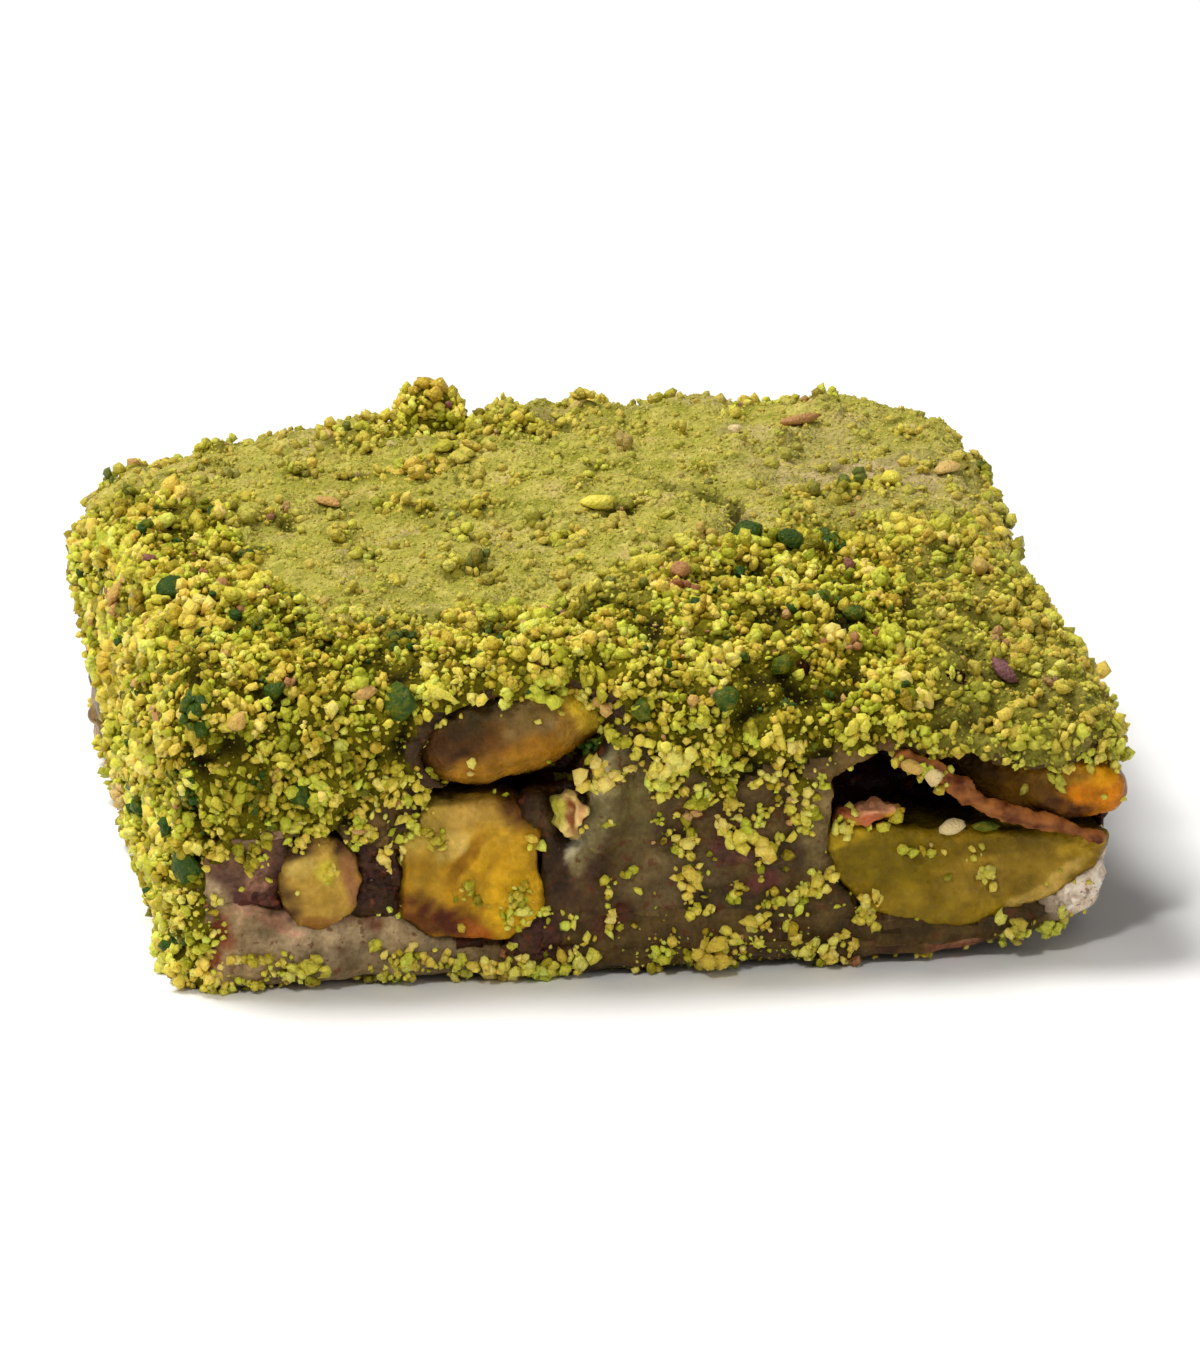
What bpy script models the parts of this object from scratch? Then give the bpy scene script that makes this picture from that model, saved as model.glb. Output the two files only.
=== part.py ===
"""A square of Turkish delight: two layers of clear starch jelly round a layer of cocoa paste, with
pistachio kernels in it and a coat of ground pistachio on it.

Metres, +Z up. The origin is the middle of the flat underside. -Y is the front, the cut side that
shows most of the kernels; -X is the left side, which the coat covers.
"""

import math
import random

import bmesh
import bpy
from mathutils import Euler, Matrix, Vector, noise
from mathutils.bvhtree import BVHTree

# The block
WIDTH = 0.0406
DEPTH = 0.0380
HEIGHT = 0.0142
HALF_WIDTH = WIDTH / 2
HALF_DEPTH = DEPTH / 2
FRONT = -HALF_DEPTH
SIDE_ROUNDING = 0.0020
TOP_ROUNDING = 0.0026
BASE_ROUNDING = 0.0009
GRID_STEP = (0.0018, 0.0018, 0.0030)
LEFT_LEAN = 0.0009
RIGHT_LEAN = 0.0003
SIDE_BULGE = 0.0002
# Behind its front corner the right side runs in, with a dip in its middle
RIGHT_TAPER = 0.0010
TAPER_FROM = -0.0110
TAPER_REACH = 0.0100
RIGHT_DIP = 0.0006
DIP_PLACE = -0.0010
DIP_REACH = 0.0045

# Each sag of the upper face, and each rise as a sag below nothing: place, drop and reach
SAGS = (
    (-HALF_WIDTH, HALF_DEPTH, 0.0020, 0.0066),
    (HALF_WIDTH, HALF_DEPTH, 0.0005, 0.0050),
    (HALF_WIDTH, FRONT, 0.0026, 0.0120),
    (HALF_WIDTH, 0.0020, 0.0009, 0.0060),
    (0.0040, HALF_DEPTH, -0.0010, 0.0170),
    (-0.0062, FRONT, -0.0010, 0.0050),
)
SHOULDER_DROP = 0.0007
SHOULDER_REACH = 0.0040
# The front right corner doesn't reach the table
LIFT = 0.0021
LIFT_REACH = 0.0095
# The coat stands out over the pocket of the upper kernel, like a brow
BROW_PLACE = (-0.0062, 0.0139)
BROW = 0.0009
BROW_REACH = (0.0042, 0.0011)

# Where the coat lies: from this share of the height up, round the left side, and along the base
COAT_FROM = 0.66
COAT_FADE = 0.16
LEFT_EDGE = 0.0012
FRINGE_HEIGHT = 0.0016
FRINGE_FADE = 0.0010
FRINGE_SHARE = 0.6
# The thickness of the coat, and the relief of the coat and of the cut sides
COAT = 0.0006
CLUMP_WAVE = 0.0030
CLUMP_RELIEF = 0.00060
CUT_WAVE = 0.0050
CUT_RELIEF = 0.00022

# The layers, and the space between neighbours
GAP = 0.0003
ROOM = 0.00035
PASTE_MIDDLE = 0.0064
PASTE_THICKNESS = 0.0034
PASTE_WAVE = 0.0080
PASTE_WAVINESS = 0.0006
FRONT_REACH = 0.0100
LAYER_STEP = (0.0030, 0.0056)
SPACE_MARGIN = 1.3
BELOW = -0.010
ABOVE = 0.030
# The paste along the front, pressed down by the kernels above it: place, middle and thickness
PASTE_FRONT = (
    (-0.0230, 0.0064, 0.0024),
    (-0.0185, 0.0058, 0.0030),
    (-0.0158, 0.0052, 0.0040),
    (-0.0128, 0.0058, 0.0042),
    (-0.0112, 0.0044, 0.0030),
    (-0.0078, 0.0020, 0.0012),
    (-0.0030, 0.0024, 0.0018),
    (0.0060, 0.0019, 0.0012),
    (0.0110, 0.0014, 0.0008),
    (0.0145, 0.0014, 0.0008),
    (0.0178, 0.0025, 0.0008),
    (0.0230, 0.0044, 0.0012),
)

# The kernels: middle, half sizes, turn in degrees, the flat cuts that a halved one has, and how
# four-cornered its section is
KERNELS = {
    "pistachio_chip": dict(
        middle=(-0.0152, FRONT + 0.0008, 0.0051),
        half=(0.0034, 0.0018, 0.0021),
        turn=(0, 0, 96),
        cuts=((FRONT - 0.0002, (0, -1, 0)),),
    ),
    "pistachio_round": dict(
        middle=(-0.0083, FRONT + 0.0012, 0.0053),
        half=(0.0052, 0.0036, 0.0036),
        turn=(0, 3, -94),
        corners=0.10,
        cuts=((FRONT - 0.0004, (0, -1, 0.10)),),
    ),
    "pistachio_upper": dict(
        middle=(-0.0063, FRONT + 0.0019, 0.0116), half=(0.0049, 0.0028, 0.0023), turn=(-10, -12, 3)
    ),
    "pistachio_half": dict(
        middle=(0.0139, FRONT + 0.0006, 0.0058),
        half=(0.0061, 0.0042, 0.0041),
        turn=(0, 3, 0),
        cuts=((FRONT + 0.0003, (0, -1, 0.16)), (0.0060, (0.05, 0, 1))),
    ),
    "pistachio_corner": dict(
        middle=(0.0172, FRONT + 0.0034, 0.0086),
        half=(0.0050, 0.0030, 0.0022),
        turn=(0, 12, -50),
        cuts=((FRONT - 0.0003, (0, -1, -0.10)),),
    ),
    "pistachio_right": dict(
        middle=(HALF_WIDTH - RIGHT_TAPER - 0.0014, 0.0080, 0.0068),
        half=(0.0060, 0.0031, 0.0029),
        turn=(0, -6, 88),
        cuts=((HALF_WIDTH - RIGHT_TAPER + 0.0003, (1, 0, 0)),),
    ),
    "pistachio_back": dict(
        middle=(0.0070, HALF_DEPTH - 0.0014, 0.0070),
        half=(0.0062, 0.0030, 0.0029),
        turn=(0, 5, 3),
        cuts=((HALF_DEPTH + 0.0001, (0, 1, 0)),),
    ),
    "pistachio_back_end": dict(
        middle=(-0.0092, HALF_DEPTH - 0.0044, 0.0064), half=(0.0053, 0.0030, 0.0032), turn=(0, 4, 94)
    ),
}
KERNEL_TAPER = 0.14
KERNEL_TIP = 0.10
KERNEL_SIDES = 12
KERNEL_RINGS = 8

# Hollows in the jelly: middle, half sizes and turn in degrees
HOLLOWS = (
    ((0.0112, FRONT + 0.0008, 0.0083), (0.0036, 0.0046, 0.0018), (0, 14, 0)),
    ((0.0164, FRONT + 0.0004, 0.0064), (0.0046, 0.0026, 0.0008), (0, 20, 0)),
    ((-0.0066, FRONT, 0.0091), (0.0044, 0.0024, 0.0006), (0, -4, 0)),
    ((-0.0063, FRONT - 0.0012, 0.0114), (0.0049, 0.0028, 0.0025), (0, -12, 0)),
    ((-0.0034, FRONT, 0.0105), (0.0022, 0.0020, 0.0006), (0, -55, 0)),
)

# The strip of pistachio skin that crosses the hollow
SKIN_START = Vector((0.0110, FRONT - 0.0003, 0.0098))
SKIN_END = Vector((0.0201, FRONT - 0.0007, 0.0056))
SKIN_SAG = 0.0003
SKIN_WIDTH = 0.0008
SKIN_THICKNESS = 0.0005
SKIN_STEPS = 10
SKIN_WAVE = 0.00012

# The torn flap of jelly beside the upper kernel
FLAP = ((-0.0020, FRONT - 0.0002, 0.0086), (0.0010, 0.0007, 0.0027), (0, 12, 0))
# Fragments of kernel: one before the flap, and a shard with its skin in the hollow
FRAGMENTS = {
    "pistachio_fragment": ((-0.0039, FRONT - 0.0002, 0.0078), (0.0008, 0.0008, 0.0012), (0, -12, 0)),
    "pistachio_shard": ((0.0098, FRONT + 0.0004, 0.0070), (0.0016, 0.0007, 0.0005), (0, -6, 0)),
}

# The largest crumbs of the coat
CRUMB_SEED = 11
CRUMB_TRIES = 3000
CRUMB_RADIUS = (0.00070, 0.00120)
CRUMB_SPACING = 0.0030
CRUMB_SUNK = 0.65
CRUMB_CLEAR = 0.00040
CRUMB_ROUGHNESS = (0.86, 1.14)
CRUMB_SQUASH = (0.85, 1.10)
# The back of the upper face is pressed smooth, with fewer crumbs: where that starts, and its reach
SMOOTH_FROM = -0.0040
SMOOTH_REACH = 0.0100
SMOOTH_CRUMBS = 0.25
RAY_START = 0.08
MOST_CRUMBS = {"lokum_top": 64, "lokum_bottom": 16}
# The tall clump on the upper face, behind the middle
CLUMP_PLACE = (-0.0052, 0.0172)
CLUMP_RADIUS = 0.0015
CLUMP_SPREAD = (0.0014, 0.0010)
CLUMP_RAISED = 0.45
CLUMP_OUTER = 0.75
CLUMP_BALLS = 5

# Colour and roughness of each material
FINISHES = {
    "ground_pistachio": ((0.34, 0.33, 0.05), 0.75),
    "starch_jelly": ((0.38, 0.33, 0.20), 0.35),
    "cocoa_paste": ((0.045, 0.018, 0.015), 0.65),
    "pistachio_kernel": ((0.62, 0.40, 0.06), 0.45),
    "pistachio_skin": ((0.30, 0.09, 0.06), 0.60),
}
SHARP_ANGLE = 35


def clear_scene():
    """Removes the objects that Blender starts with."""
    for found in list(bpy.data.objects):
        bpy.data.objects.remove(found)


def smooth_share(value):
    """0 below 0, 1 above 1, and a smooth rise between them."""
    value = min(1.0, max(0.0, value))
    return value * value * (3 - 2 * value)


def bell(distance, reach):
    """1 at no distance, falling smoothly to nothing past twice the reach."""
    return math.exp(-((distance / reach) ** 2))


def material(name):
    """The plain Principled material of this name."""
    colour, roughness = FINISHES[name]
    made = bpy.data.materials.get(name) or bpy.data.materials.new(name)
    made.use_nodes = True
    shader = made.node_tree.nodes["Principled BSDF"]
    shader.inputs["Base Color"].default_value = (*colour, 1)
    shader.inputs["Roughness"].default_value = roughness
    shader.inputs["Metallic"].default_value = 0
    return made


def object_from(bm, name):
    """A new object in the scene that holds this bmesh."""
    mesh = bpy.data.meshes.new(name)
    bm.to_mesh(mesh)
    bm.free()
    made = bpy.data.objects.new(name, mesh)
    bpy.context.scene.collection.objects.link(made)
    return made


def with_boolean(target, others, operation):
    """Cuts, joins or intersects target with the others, and keeps the result as its mesh.

    The manifold solver leaves no open edges on these rough surfaces; the exact one does.
    """
    group = bpy.data.collections.new("operands")
    bpy.context.scene.collection.children.link(group)
    for other in others:
        group.objects.link(other)
    step = target.modifiers.new("boolean", "BOOLEAN")
    step.operation = operation
    step.operand_type = "COLLECTION"
    step.collection = group
    step.solver = "MANIFOLD"
    bpy.context.view_layer.update()
    graph = bpy.context.evaluated_depsgraph_get()
    result = bpy.data.meshes.new_from_object(target.evaluated_get(graph))
    target.modifiers.clear()
    target.data = result
    bpy.data.collections.remove(group)


def keep_largest(target):
    """Drops the loose scraps that a cut leaves, so that one body stays."""
    bm = bmesh.new()
    bm.from_mesh(target.data)
    left, bodies = set(bm.verts), []
    while left:
        body, edge = set(), [left.pop()]
        while edge:
            vertex = edge.pop()
            body.add(vertex)
            for link in vertex.link_edges:
                other = link.other_vert(vertex)
                if other in left:
                    left.discard(other)
                    edge.append(other)
        bodies.append(body)
    bodies.sort(key=len)
    for scrap in bodies[:-1]:
        bmesh.ops.delete(bm, geom=list(scrap), context="VERTS")
    bm.to_mesh(target.data)
    bm.free()


def top_height(x, y):
    """The height of the upper face, which sags towards its corners and along its front."""
    drop = sum(d * bell(math.hypot(x - px, y - py), reach) for px, py, d, reach in SAGS)
    return HEIGHT - drop - SHOULDER_DROP * bell(y - FRONT, SHOULDER_REACH)


def base_height(x, y):
    """The height of the underside: flat, apart from the corner that lifts."""
    away = math.hypot(x - HALF_WIDTH, y - FRONT)
    return LIFT * max(0.0, 1 - away / LIFT_REACH) ** 2


def coat_share(point):
    """How thickly the ground pistachio lies, from 0 on a bare cut side to 1 on the upper face."""
    x, y, z = point
    height = top_height(x, y)
    upper = smooth_share((z / height - COAT_FROM) / COAT_FADE)
    left = smooth_share((LEFT_EDGE - HALF_WIDTH - x) / LEFT_EDGE)
    fringe = smooth_share((FRINGE_HEIGHT - z) / FRINGE_FADE)
    return max(upper, left, FRINGE_SHARE * fringe)


def relief(point):
    """How far the surface stands out of the plain block at this point."""
    coat = coat_share(point)
    clumps = noise.noise(point / CLUMP_WAVE) + 0.5 * noise.noise(point / CLUMP_WAVE * 2.1)
    cut = noise.noise(point / CUT_WAVE + Vector((3, 5, 7)))
    brow = bell(point.x - BROW_PLACE[0], BROW_REACH[0]) * bell(point.z - BROW_PLACE[1], BROW_REACH[1])
    brow *= smooth_share((FRONT + TOP_ROUNDING - point.y) / TOP_ROUNDING)
    return coat * (COAT + CLUMP_RELIEF * clumps) + (1 - coat) * CUT_RELIEF * cut + BROW * brow


def mesh_lines(half, step, low_edge, high_edge):
    """Where to cut one side of the box, with extra lines round its rounded edges."""
    count = round((2 * half - low_edge - high_edge) / step)
    first, last = -half + low_edge, half - high_edge
    middle = [first + (last - first) * i / count for i in range(count + 1)]
    return [-half + 0.45 * low_edge, *middle, half - 0.45 * high_edge]


def rounded(point, half, radii):
    """The point of a box's surface moved in, so that edges and corners are round."""
    inner, excess = Vector(), Vector()
    for axis in range(3):
        limit = half[axis] - radii[axis]
        inner[axis] = min(limit, max(-limit, point[axis]))
        excess[axis] = (point[axis] - inner[axis]) / radii[axis]
    if excess.length < 1e-9:
        return point.copy()
    excess.normalize()
    return inner + Vector(excess[axis] * radii[axis] for axis in range(3))


def shaped(point):
    """A point of the plain rounded box, on z from 0 to HEIGHT, moved to the block's own form."""
    x, y, z = point
    share = z / HEIGHT
    across, along = x / HALF_WIDTH, y / HALF_DEPTH
    lean = RIGHT_LEAN * max(0.0, across) - LEFT_LEAN * max(0.0, -across)
    bulge = SIDE_BULGE * math.sin(math.pi * share)
    taper = RIGHT_TAPER * smooth_share((y - TAPER_FROM) / TAPER_REACH)
    taper += RIGHT_DIP * bell(y - DIP_PLACE, DIP_REACH)
    taper *= max(0.0, across) ** 3
    low, high = base_height(x, y), top_height(x, y)
    return Vector(
        (x + lean * share + bulge * across**3 - taper, y + bulge * along**3, low + (high - low) * share)
    )


def build_block():
    """The whole outer form, before it is parted into layers."""
    half = (HALF_WIDTH, HALF_DEPTH, HEIGHT / 2)
    bm = bmesh.new()
    bmesh.ops.create_cube(bm, size=2.0)
    for vertex in bm.verts:
        vertex.co = Vector(vertex.co[axis] * half[axis] for axis in range(3))
    edges = ((SIDE_ROUNDING,) * 2, (SIDE_ROUNDING,) * 2, (BASE_ROUNDING, TOP_ROUNDING))
    for axis in range(3):
        normal = Vector(float(axis == i) for i in range(3))
        for place in mesh_lines(half[axis], GRID_STEP[axis], *edges[axis]):
            parts = bm.verts[:] + bm.edges[:] + bm.faces[:]
            bmesh.ops.bisect_plane(bm, geom=parts, plane_co=normal * place, plane_no=normal)
    for vertex in bm.verts:
        edge = TOP_ROUNDING if vertex.co.z > 0 else BASE_ROUNDING
        point = rounded(vertex.co, half, (SIDE_ROUNDING, SIDE_ROUNDING, edge))
        vertex.co = shaped(point + Vector((0, 0, HEIGHT / 2)))
    bm.normal_update()
    places = {v: v.co + v.normal * relief(v.co) for v in bm.verts if v.normal.z > -0.7}
    for vertex, place in places.items():
        vertex.co = place
        vertex.co.z = max(place.z, 0.0)
    flat = [face for face in bm.faces if face.normal.z < -0.99999]
    bmesh.ops.dissolve_faces(bm, faces=flat)
    return object_from(bm, "block")


def paste_front(x):
    """The middle and the thickness of the paste on the front side."""
    for before, after in zip(PASTE_FRONT, PASTE_FRONT[1:]):
        if x <= after[0]:
            break
    share = smooth_share((x - before[0]) / (after[0] - before[0]))
    return [low + (high - low) * share for low, high in zip(before[1:], after[1:])]


def paste_bounds(x, y):
    """The heights of the lower and upper face of the cocoa paste."""
    inward = smooth_share((y - FRONT) / FRONT_REACH)
    middle, thickness = paste_front(x)
    middle += (PASTE_MIDDLE - middle) * inward
    middle += PASTE_WAVINESS * inward * noise.noise(Vector((x, y, 0)) / PASTE_WAVE)
    thickness += (PASTE_THICKNESS - thickness) * inward
    return middle - thickness / 2, middle + thickness / 2


def layer_space(name, floor_at, ceiling_at):
    """A body that spans the block and lies between two surfaces, each a function of x and y."""
    width, depth = SPACE_MARGIN * WIDTH, SPACE_MARGIN * DEPTH
    columns, rows = math.ceil(width / LAYER_STEP[0]), math.ceil(depth / LAYER_STEP[1])
    bm = bmesh.new()
    bmesh.ops.create_grid(bm, x_segments=columns, y_segments=rows, size=0.5)
    for vertex in bm.verts:
        vertex.co = Vector((vertex.co.x * width, vertex.co.y * depth, 0))
    raised = bmesh.ops.extrude_face_region(bm, geom=bm.faces[:])["geom"]
    upper = {part for part in raised if isinstance(part, bmesh.types.BMVert)}
    for vertex in bm.verts:
        surface = ceiling_at if vertex in upper else floor_at
        vertex.co.z = surface(vertex.co.x, vertex.co.y)
    bmesh.ops.recalc_face_normals(bm, faces=bm.faces[:])
    return object_from(bm, name)


def kernel_shape(name, half, corners=0.0):
    """A pistachio kernel along X: an egg, a little pointed at its +X end, or four-cornered across."""
    bm = bmesh.new()
    bmesh.ops.create_uvsphere(bm, u_segments=KERNEL_SIDES, v_segments=KERNEL_RINGS, radius=1.0)
    for vertex in bm.verts:
        z, y, x = vertex.co
        slim = (1 - KERNEL_TAPER * x) * (1 - corners * math.cos(4 * math.atan2(z, y)))
        tip = 1 + KERNEL_TIP * max(0.0, x) ** 3
        vertex.co = Vector((half[0] * x * tip, half[1] * y * slim, -half[2] * z * slim))
    return object_from(bm, name)


def put(made, middle, turn):
    """Turns the object's mesh by these angles and moves it to its place."""
    turned = Euler([math.radians(angle) for angle in turn]).to_matrix().to_4x4()
    made.data.transform(Matrix.Translation(middle) @ turned)


def flat_cut(made, middle, along, normal):
    """Cuts the body flat, across the axis that the normal is nearest to, and closes it."""
    normal = Vector(normal)
    main = max(range(3), key=lambda axis: abs(normal[axis]))
    point = Vector(along if axis == main else middle[axis] for axis in range(3))
    bm = bmesh.new()
    bm.from_mesh(made.data)
    parts = bm.verts[:] + bm.edges[:] + bm.faces[:]
    bmesh.ops.bisect_plane(bm, geom=parts, plane_co=point, plane_no=normal, clear_outer=True)
    bmesh.ops.holes_fill(bm, edges=[e for e in bm.edges if e.is_boundary])
    bmesh.ops.recalc_face_normals(bm, faces=bm.faces[:])
    bm.to_mesh(made.data)
    bm.free()


def build_kernels():
    """The kernels, and for each the larger body that its place in the layers is cut with."""
    kernels, rooms = [], []
    for name, made_as in KERNELS.items():
        corners = made_as.get("corners", 0.0)
        kernel = kernel_shape(name, made_as["half"], corners)
        put(kernel, made_as["middle"], made_as["turn"])
        for cut in made_as.get("cuts", ()):
            flat_cut(kernel, made_as["middle"], *cut)
        kernels.append(kernel)
        room = kernel_shape(name + "_room", [size + ROOM for size in made_as["half"]], corners)
        put(room, made_as["middle"], made_as["turn"])
        rooms.append(room)
    return kernels, rooms


def build_hollows():
    """Cutters for the open hollows between the kernels and the jelly."""
    made = []
    for middle, half, turn in HOLLOWS:
        bm = bmesh.new()
        bmesh.ops.create_icosphere(bm, subdivisions=2, radius=1.0)
        for vertex in bm.verts:
            vertex.co = Vector(vertex.co[axis] * half[axis] for axis in range(3))
        hollow = object_from(bm, "hollow")
        put(hollow, middle, turn)
        made.append(hollow)
    return made


def strip(name, spare):
    """The wavy strip of skin, grown by spare on every side."""
    run = SKIN_END - SKIN_START
    side = Vector((-run.z, 0, run.x)).normalized()
    out = Vector((0, 1, 0))
    bm = bmesh.new()
    rings = []
    for step in range(SKIN_STEPS + 1):
        share = step / SKIN_STEPS
        reach = -spare if step == 0 else spare if step == SKIN_STEPS else 0.0
        centre = SKIN_START + run * share + run.normalized() * reach
        centre += side * SKIN_WAVE * math.sin(9 * share) + out * SKIN_WAVE * math.cos(7 * share)
        centre -= side * SKIN_SAG * math.sin(math.pi * share)
        narrow = 0.55 + 0.45 * math.sin(math.pi * min(1.0, share + 0.12))
        wide = side * (SKIN_WIDTH * narrow / 2 + spare)
        thick = out * (SKIN_THICKNESS / 2 + spare)
        corners = (centre + wide, centre + thick, centre - wide, centre - thick)
        rings.append([bm.verts.new(corner) for corner in corners])
    for before, after in zip(rings, rings[1:]):
        for i in range(4):
            bm.faces.new((before[i], before[i - 1], after[i - 1], after[i]))
    bm.faces.new(rings[0])
    bm.faces.new(reversed(rings[-1]))
    bmesh.ops.recalc_face_normals(bm, faces=bm.faces[:])
    return object_from(bm, name)


def lump(middle, half, draw, detail=1, turn=(0, 0, 0)):
    """A crumb or a fragment: a low ball, squashed and roughened."""
    bm = bmesh.new()
    bmesh.ops.create_icosphere(bm, subdivisions=detail, radius=1.0)
    mixed = Euler([draw.uniform(0, math.tau) for _ in range(3)]).to_matrix()
    for vertex in bm.verts:
        place = mixed @ (vertex.co * draw.uniform(*CRUMB_ROUGHNESS))
        vertex.co = Vector(place[axis] * half[axis] for axis in range(3))
    made = object_from(bm, "lump")
    put(made, middle, turn)
    return made


def grown(name, made):
    """A copy of the body, larger by the room that its neighbours leave it."""
    bm = bmesh.new()
    bm.from_mesh(made.data)
    bm.normal_update()
    for vertex in bm.verts:
        vertex.co += vertex.normal * ROOM
    return object_from(bm, name)


def tree_of(made):
    """A search tree over an object's faces."""
    bm = bmesh.new()
    bm.from_mesh(made.data)
    tree = BVHTree.FromBMesh(bm)
    bm.free()
    return tree


def random_ray(draw):
    """A ray from outside towards a random spot of the block's surface, and how likely it is kept."""
    x = draw.uniform(-HALF_WIDTH, HALF_WIDTH)
    y = draw.uniform(FRONT, HALF_DEPTH)
    z = draw.uniform(0, HEIGHT)
    side = draw.choice(("top", "top", "top", "front", "left", "right", "back"))
    rays = {
        "top": (Vector((x, y, RAY_START)), Vector((0, 0, -1))),
        "front": (Vector((x, -RAY_START, z)), Vector((0, 1, 0))),
        "left": (Vector((-RAY_START, y, z)), Vector((1, 0, 0))),
        "right": (Vector((RAY_START, y, z)), Vector((-1, 0, 0))),
        "back": (Vector((x, RAY_START, z)), Vector((0, -1, 0))),
    }
    smooth = smooth_share((y - SMOOTH_FROM) / SMOOTH_REACH) if side == "top" else 0.0
    return *rays[side], 1 - (1 - SMOOTH_CRUMBS) * smooth


def place_crumbs(layers, others, draw):
    """The largest crumbs on each layer, clear of every other node and of each other."""
    trees = {layer.name: tree_of(layer) for layer in layers}
    others = [tree_of(other) for other in others]
    placed = {name: [] for name in trees}
    middles = []
    for _ in range(CRUMB_TRIES):
        start, heading, crumbly = random_ray(draw)
        radius = draw.uniform(*CRUMB_RADIUS)
        chance = draw.random()
        hits = [(tree.ray_cast(start, heading), name) for name, tree in trees.items()]
        hits = [(hit, name) for hit, name in hits if hit[0] is not None]
        if not hits:
            continue
        (spot, normal, _, _), name = min(hits, key=lambda found: found[0][3])
        if chance > crumbly * coat_share(spot) or len(placed[name]) >= MOST_CRUMBS[name]:
            continue
        middle = spot + normal * radius * (1 - 2 * CRUMB_SUNK)
        near = [tree for other, tree in trees.items() if other != name] + others
        reach = radius * CRUMB_ROUGHNESS[1] * CRUMB_SQUASH[1]
        free = all(tree.find_nearest(middle)[3] > reach + CRUMB_CLEAR for tree in near)
        apart = all((middle - other).length > CRUMB_SPACING for other in middles)
        if free and apart and middle.z > reach:
            middles.append(middle)
            half = [radius * draw.uniform(*CRUMB_SQUASH) for _ in range(3)]
            placed[name].append(lump(middle, half, draw))
    return placed


def build_clump(draw):
    """The tall clump of crumbs near the back of the upper face."""
    x, y = CLUMP_PLACE
    base = top_height(x, y) + CLUMP_RAISED * CLUMP_RADIUS
    balls = [lump((x, y, base), (CLUMP_RADIUS,) * 3, draw, 2)]
    for i in range(1, CLUMP_BALLS):
        turn = math.tau * i / CLUMP_BALLS
        place = (x + CLUMP_SPREAD[0] * math.cos(turn), y + CLUMP_SPREAD[1] * math.sin(turn), base)
        balls.append(lump(place, (CLUMP_RADIUS * CLUMP_OUTER,) * 3, draw))
    return balls


def build_layers(block, cutters):
    """The block parted into two layers of jelly and the paste between them, without the kernels."""
    spaces = {
        "lokum_bottom": (lambda x, y: BELOW, lambda x, y: paste_bounds(x, y)[0] - GAP / 2),
        "cocoa_paste": (
            lambda x, y: paste_bounds(x, y)[0] + GAP / 2,
            lambda x, y: paste_bounds(x, y)[1] - GAP / 2,
        ),
        "lokum_top": (lambda x, y: paste_bounds(x, y)[1] + GAP / 2, lambda x, y: ABOVE),
    }
    layers = {}
    for name, (floor_at, ceiling_at) in spaces.items():
        layer = bpy.data.objects.new(name, block.data.copy())
        bpy.context.scene.collection.objects.link(layer)
        space = layer_space(name + "_space", floor_at, ceiling_at)
        with_boolean(layer, [space], "INTERSECT")
        with_boolean(layer, cutters, "DIFFERENCE")
        keep_largest(layer)
        bpy.data.objects.remove(space)
        layers[name] = layer
    return layers


def finish(made, look):
    """Gives a node its material and shades it smooth up to its sharp edges."""
    made.data.materials.clear()
    made.data.materials.append(material(look))
    made.data.shade_smooth()
    made.data.set_sharp_from_angle(angle=math.radians(SHARP_ANGLE))


def main():
    clear_scene()
    draw = random.Random(CRUMB_SEED)
    block = build_block()
    kernels, rooms = build_kernels()
    for name, (middle, half, turn) in FRAGMENTS.items():
        fragment = lump(middle, half, draw, 2, turn)
        fragment.name = name
        kernels.append(fragment)
        rooms.append(grown(name + "_room", fragment))
    skin = strip("pistachio_skin", 0.0)
    cutters = [*rooms, *build_hollows(), strip("skin_room", GAP)]
    layers = build_layers(block, cutters)

    top, bottom = layers["lokum_top"], layers["lokum_bottom"]
    crumbs = place_crumbs([top, bottom], [layers["cocoa_paste"], skin, *kernels], draw)
    flap = lump(*FLAP[:2], draw, 2, FLAP[2])
    extras = crumbs["lokum_top"] + build_clump(draw) + [flap]
    with_boolean(top, extras, "UNION")
    with_boolean(bottom, crumbs["lokum_bottom"], "UNION")
    keep_largest(top)
    keep_largest(bottom)

    for helper in [block, *cutters, *extras, *crumbs["lokum_bottom"]]:
        bpy.data.objects.remove(helper)
    finish(top, "ground_pistachio")
    finish(bottom, "starch_jelly")
    finish(layers["cocoa_paste"], "cocoa_paste")
    finish(skin, "pistachio_skin")
    for kernel in kernels:
        finish(kernel, "pistachio_kernel")


main()
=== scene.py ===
"""A square of Turkish delight, dressed: clear starch jelly, cocoa paste and pistachio kernels under a
crumbly coat of ground pistachio.

Metres, +Z up, in the frame's own place. -Y is the cut front side, -X the coated left side. Colours
are linear red, green and blue.
"""

import math
import random

import bmesh
import bpy
import numpy as np
from mathutils import Euler, Matrix, Vector, noise
from mathutils.bvhtree import BVHTree


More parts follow.
